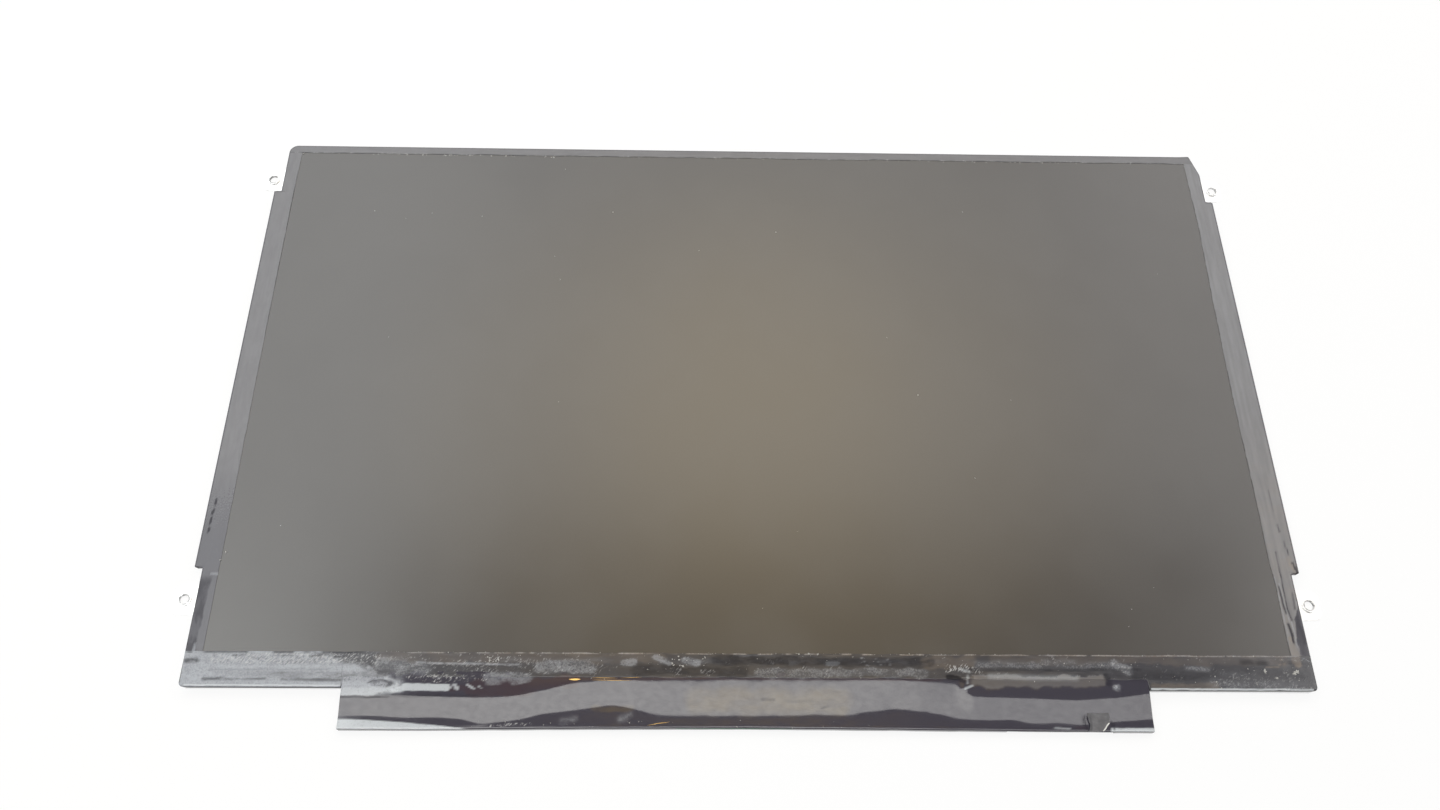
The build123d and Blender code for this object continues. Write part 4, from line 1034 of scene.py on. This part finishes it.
def add_top_tape(sizes, colours):
    """Top tape with its fields: greyed, with a clean outer edge and a broken dark line at the screen."""
    outer, inner = top_tape_shape(sizes)
    x, y = outer[..., 0], outer[..., 1]
    fields = marked(x, y)
    edge = eased((y - y.max(axis=0, keepdims=True) + 0.4) / 0.3)
    brink = eased((y.min(axis=0, keepdims=True) + 0.34 - y) / 0.2)
    dots = eased(rough_noise(x, 0 * x, 3.0, 79) * 1.3 + 0.35)
    raise_field(fields, "scuff", 1 - 0.9 * edge)
    raise_field(fields, "residue", np.maximum(0.1, 0.9 * brink * (1 - dots)))
    raise_field(fields, "line", np.maximum(0.4 * edge, 0.55 * brink * dots))
    finish = worn_finish("top_tape_worn", colours, colours.tape, colours.glue, 0.2, (14, 1, 1))
    add_piece("top_edge_tape_worn", shell(outer, inner), finish, ["top_edge_tape"], fields)


def add_flap_film(sizes, colours):
    """Flap film with its fields, painted shade along the lower part of the front fold."""
    front, shells = flap_film_shapes(sizes)
    x, y, z = np.moveaxis(front, -1, 0)
    fields = lower_fields(x, y)
    # Painted shade along the lower part of the front fold.
    raise_field(fields, "line", eased((BOARD_Z + 0.18 - z) / 0.16))
    finish = worn_finish("flap_film_gloss", colours, colours.film, colours.film_tint, 0.1, (2, 1, 1))
    add_piece("board_cover_film_worn", join(shells), finish, ["board_cover_film"], fields)


def add_patch(colours):
    """Grey patch on the flap."""
    shape, fields = patch_shape()
    finish = patch_finish(colours)
    add_piece("board_edge_patch_worn", shape, finish, ["board_edge_patch"], fields)


# Bare traces: x from and to, y from and to, width and lift in millimetres.
TRACES = ((-41.4, -34.6, -77.55, -77.6, 0.1, 0.03), (-33.9, -28.5, -77.55, -77.45, 0.08, 0.03),
          (-41.4, -30.9, -78.1, -78.2, 0.11, 0.03), (-47.0, -44.0, -78.0, -78.0, 0.45, 0.07),
          (-26.8, -21.1, -89.2, -88.3, 0.12, 0.03))


def add_gold_traces(colours):
    """Bare traces of the middle driver film that show at the tape's edge."""
    strips = [strip_shape(*trace) for trace in TRACES]
    finish = moulded_finish("bare_gold_traces", colours.gold, 0.28, 0.2, 0.3, 1.0)
    add_piece("driver_film_traces", join(strips), finish)


def add_flecks(sizes, colours):
    """Dust and crumbs of glue on the screen, the tapes and the film."""
    add_piece("dust_and_glue_flecks", fleck_shape(sizes), dust_finish(colours))


def dress_solids(colours):
    """Finishes on the solids that keep their own shape."""
    finishes = {
        "steel_pan": steel_finish("chassis_rolled_steel", colours.steel, 0.36, hole_shade=True),
        "connector_metal": steel_finish("connector_plated_shell", (0.7, 0.7, 0.71), 0.2, 0.1),
        "frame_plastic": moulded_finish("frame_black_plastic", colours.plastic, 0.42, 0.25),
        "screen_face": screen_finish(colours),
        "black_tape": moulded_finish("bonding_tape_black", colours.tape, 0.4, 0.3),
        "black_film": moulded_finish("film_black", colours.film, 0.14, 0.3),
        "grey_tape": moulded_finish("tape_grey", colours.patch, 0.6, 0.22),
        "cell_glass": glass_finish("cell_display_glass", (0.8, 0.86, 0.83)),
    }
    for slot, (name, tone, rough, size, more) in SOLID_FINISHES.items():
        finishes[slot] = moulded_finish(name, tone, rough, size, **more)
    for part in frame["record"]["subparts"]:
        materials = frame["nodes"][part["node"]].data.materials
        if len(materials):
            materials[0] = finishes[part["material_slot"]]
        else:
            materials.append(finishes[part["material_slot"]])


# Stage


# Lamps overhead: lowest and highest corner and height in metres, brightness and tint.
LAMPS = (
    ("back_left_lamp", (-0.95, 0.23), (-0.32, 1.35), 1.0, 1.82, (0.955, 0.985, 1.0)),
    ("back_middle_lamp", (-0.32, 0.295), (0.32, 1.35), 1.0, 1.4, (0.92, 0.96, 1.0)),
    ("back_right_lamp", (0.32, 0.3), (0.58, 1.35), 1.0, 1.2, (0.97, 0.98, 0.985)),
    ("far_right_lamp", (0.58, 0.3), (1.3, 1.35), 1.0, 1.4, (0.985, 0.985, 0.985)),
    ("corner_lamp", (0.52, 0.74), (1.3, 1.35), 0.99, 0.27, (0.93, 0.96, 1.0)),
    ("left_lamp", (-1.35, -0.3), (-0.42, 0.23), 1.0, 2.45, (0.97, 1.0, 1.0)),
    ("right_lamp", (0.66, 0.05), (1.3, 0.3), 1.0, 2.2, (1.0, 0.99, 0.98)),
    ("warm_lamp", (-0.37, 0.08), (0.47, 0.83), 0.98, 0.42, (1.0, 0.66, 0.12)),
    ("warm_core_lamp", (-0.14, 0.24), (0.24, 0.7), 0.97, 0.52, (1.0, 0.66, 0.12)),
    ("front_lamp", (-0.61, -0.5), (0.22, 0.0), 1.0, 2.5, (1.0, 0.988, 0.95)),
    ("front_right_lamp", (0.22, -0.5), (0.59, 0.0), 1.0, 1.8, (1.0, 0.99, 0.97)),
)
ROUND_LAMPS = ("warm_lamp", "warm_core_lamp")


def add_lamp(name, low, high, height, radiance, tint):
    """Flat lamp that faces down, with a brightness: its power is four times brightness times area."""
    lamp = bpy.data.lights.new(name, "AREA")
    lamp.shape = "ELLIPSE" if name in ROUND_LAMPS else "RECTANGLE"
    lamp.size, lamp.size_y = high[0] - low[0], high[1] - low[1]
    filled = math.pi / 4 if name in ROUND_LAMPS else 1.0
    lamp.energy = radiance * 4 * lamp.size * lamp.size_y * filled
    lamp.color = tint
    made = bpy.data.objects.new(name, lamp)
    made.location = ((low[0] + high[0]) / 2, (low[1] + high[1]) / 2, height)
    made.visible_camera = False
    bpy.context.scene.collection.objects.link(made)


# Floor: half its width and its level in metres, and the share of it that glows to the eye and in reflections.
FLOOR_REACH, FLOOR_LEVEL, FLOOR_GLOW = 4.0, -0.00002, 0.85


def add_floor(stage):
    """Floor: white to the eye and in reflections, with some real shading kept for the panel's shadow."""
    mesh = bpy.data.meshes.new("studio_floor")
    square = ((-1, -1), (1, -1), (1, 1), (-1, 1))
    corners = [(x * FLOOR_REACH, y * FLOOR_REACH, FLOOR_LEVEL) for x, y in square]
    mesh.from_pydata(corners, [], [(0, 1, 2, 3)])
    material = bpy.data.materials.new("studio_floor_white")
    material.use_nodes = True
    tree = material.node_tree
    tree.nodes.clear()
    path = add_node(tree, "ShaderNodeLightPath").outputs
    mirrored = add_node(tree, "ShaderNodeMath", {0: path["Is Glossy Ray"], 1: path["Is Transmission Ray"]},
                        operation="MAXIMUM")
    seen = add_node(tree, "ShaderNodeMath", {0: path["Is Camera Ray"], 1: mirrored.outputs[0]},
                    operation="MAXIMUM")
    share = add_node(tree, "ShaderNodeMath", {0: seen.outputs[0], 1: FLOOR_GLOW}, operation="MULTIPLY")
    matt = add_node(tree, "ShaderNodeBsdfDiffuse", {"Color": (*stage.floor, 1.0)})
    glow = add_node(tree, "ShaderNodeEmission")
    both = add_node(tree, "ShaderNodeMixShader",
                    {0: share.outputs[0], 1: matt.outputs[0], 2: glow.outputs[0]})
    add_node(tree, "ShaderNodeOutputMaterial", {"Surface": both.outputs[0]})
    mesh.materials.append(material)
    floor = bpy.data.objects.new("studio_floor", mesh)
    bpy.context.scene.collection.objects.link(floor)


# Heights of a direction between which the room darkens, from the horizon's brightness to the zenith's.
ROOM_BAND = (0.02, 0.25)


def add_room(stage):
    """Room light: white to the eye and round the horizon, dark overhead, by the height of the direction."""
    world = bpy.data.worlds.new("studio_room")
    world.use_nodes = True
    tree = world.node_tree
    way = add_node(tree, "ShaderNodeTexCoord").outputs["Generated"]
    rise = add_node(tree, "ShaderNodeSeparateXYZ", {0: way}).outputs["Z"]
    inputs = {"Value": rise, "From Min": ROOM_BAND[0], "From Max": ROOM_BAND[1], "To Min": stage.horizon,
              "To Max": stage.zenith}
    bright = add_node(tree, "ShaderNodeMapRange", inputs, interpolation_type="SMOOTHSTEP").outputs[0]
    eye = add_node(tree, "ShaderNodeLightPath").outputs["Is Camera Ray"]
    seen = add_node(tree, "ShaderNodeMath", {0: bright, 1: eye}, operation="MAXIMUM").outputs[0]
    back = tree.nodes["Background"]
    feed(tree, back.inputs["Color"], (1.0, 1.0, 1.0, 1.0))
    feed(tree, back.inputs["Strength"], seen)
    bpy.context.scene.world = world


def add_camera(stage):
    """Camera at a distance from the aim, looking down at an elevation, turned by the azimuth and rolled."""
    a, e, r = stage.azimuth, stage.elevation, stage.roll
    ahead = Vector((math.sin(a) * math.cos(e), math.cos(a) * math.cos(e), -math.sin(e)))
    level = Vector((math.cos(a), -math.sin(a), 0))
    upright = level.cross(ahead)
    right = level * math.cos(r) + upright * math.sin(r)
    up = right.cross(ahead)
    camera = bpy.data.cameras.new("photo_camera")
    camera.sensor_width = 36.0
    camera.lens = stage.lens
    camera.clip_start = 0.01
    made = bpy.data.objects.new("photo_camera", camera)
    turn = Matrix((right, up, -ahead)).transposed()
    made.matrix_world = Matrix.Translation(Vector(stage.aim) - ahead * stage.distance) @ turn.to_4x4()
    bpy.context.scene.collection.objects.link(made)
    bpy.context.scene.camera = made


# Add-on


class PanelOperator:
    """What the operators share."""

    bl_options = {"REGISTER", "UNDO"}

    def execute(self, context):
        self.build(context.scene.panel_sizes, context.scene.panel_colours)
        return {"FINISHED"}


class SCREENPANEL_OT_solids(PanelOperator, bpy.types.Operator):
    """Gives the solids their finishes"""

    bl_idname = "screen_panel.solids"
    bl_label = "Finish the solids"

    def build(self, sizes, colours):
        dress_solids(colours)


class SCREENPANEL_OT_side_tapes(PanelOperator, bpy.types.Operator):
    """Adds the two side tapes"""

    bl_idname = "screen_panel.side_tapes"
    bl_label = "Side tapes"

    def build(self, sizes, colours):
        add_side_tapes(sizes, colours)


class SCREENPANEL_OT_top_tape(PanelOperator, bpy.types.Operator):
    """Adds the tape along the top edge"""

    bl_idname = "screen_panel.top_tape"
    bl_label = "Top tape"

    def build(self, sizes, colours):
        add_top_tape(sizes, colours)


class SCREENPANEL_OT_lower_tape(PanelOperator, bpy.types.Operator):
    """Adds the wide tape over the lower ledge"""

    bl_idname = "screen_panel.lower_tape"
    bl_label = "Lower tape"

    def build(self, sizes, colours):
        add_lower_tape(sizes, colours)


class SCREENPANEL_OT_flap_film(PanelOperator, bpy.types.Operator):
    """Adds the film over the control board"""

    bl_idname = "screen_panel.flap_film"
    bl_label = "Flap film"

    def build(self, sizes, colours):
        add_flap_film(sizes, colours)


class SCREENPANEL_OT_flap_patch(PanelOperator, bpy.types.Operator):
    """Adds the grey patch on the flap"""

    bl_idname = "screen_panel.flap_patch"
    bl_label = "Flap patch"

    def build(self, sizes, colours):
        add_patch(colours)


class SCREENPANEL_OT_gold_traces(PanelOperator, bpy.types.Operator):
    """Adds the bare traces at the tape's edge"""

    bl_idname = "screen_panel.gold_traces"
    bl_label = "Gold traces"

    def build(self, sizes, colours):
        add_gold_traces(colours)


class SCREENPANEL_OT_flecks(PanelOperator, bpy.types.Operator):
    """Adds dust and crumbs of glue"""

    bl_idname = "screen_panel.flecks"
    bl_label = "Flecks"

    def build(self, sizes, colours):
        add_flecks(sizes, colours)


class SCREENPANEL_OT_stage(bpy.types.Operator):
    """Adds the floor, the lamps, the room and the camera"""

    bl_idname = "screen_panel.stage"
    bl_label = "Stage"
    bl_options = {"REGISTER", "UNDO"}

    def execute(self, context):
        stage = context.scene.panel_stage
        context.scene.view_settings.view_transform = "Standard"
        add_floor(stage)
        add_room(stage)
        for name, low, high, height, bright, tint in LAMPS:
            add_lamp(name, low, high, height, bright * stage.light, tint)
        add_camera(stage)
        return {"FINISHED"}


OPERATORS = (SCREENPANEL_OT_solids, SCREENPANEL_OT_side_tapes, SCREENPANEL_OT_top_tape,
             SCREENPANEL_OT_lower_tape, SCREENPANEL_OT_flap_film, SCREENPANEL_OT_flap_patch,
             SCREENPANEL_OT_gold_traces, SCREENPANEL_OT_flecks, SCREENPANEL_OT_stage)


class SCREENPANEL_PT_sidebar(bpy.types.Panel):
    """Buttons, sizes and colours of the screen panel."""

    bl_label = "Screen Panel"
    bl_space_type = "VIEW_3D"
    bl_region_type = "UI"
    bl_category = "Screen Panel"

    def draw(self, context):
        for operator in OPERATORS:
            self.layout.operator(operator.bl_idname)
        for group in (context.scene.panel_sizes, context.scene.panel_colours, context.scene.panel_stage):
            column = self.layout.column()
            for name in group.__annotations__:
                column.prop(group, name)


CLASSES = (PanelSizes, PanelColours, StageSettings, *OPERATORS, SCREENPANEL_PT_sidebar)


def register():
    """Registers the classes and the scene's three groups of settings."""
    for kind in CLASSES:
        bpy.utils.register_class(kind)
    bpy.types.Scene.panel_sizes = PointerProperty(type=PanelSizes)
    bpy.types.Scene.panel_colours = PointerProperty(type=PanelColours)
    bpy.types.Scene.panel_stage = PointerProperty(type=StageSettings)


def unregister():
    """Takes the settings and the classes away again."""
    del bpy.types.Scene.panel_sizes, bpy.types.Scene.panel_colours, bpy.types.Scene.panel_stage
    for kind in reversed(CLASSES):
        bpy.utils.unregister_class(kind)


def main():
    """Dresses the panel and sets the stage."""
    register()
    steps = bpy.ops.screen_panel
    steps.solids()
    steps.side_tapes()
    steps.top_tape()
    steps.lower_tape()
    steps.flap_film()
    steps.flap_patch()
    steps.gold_traces()
    steps.flecks()
    steps.stage()


if __name__ == "__main__":
    main()
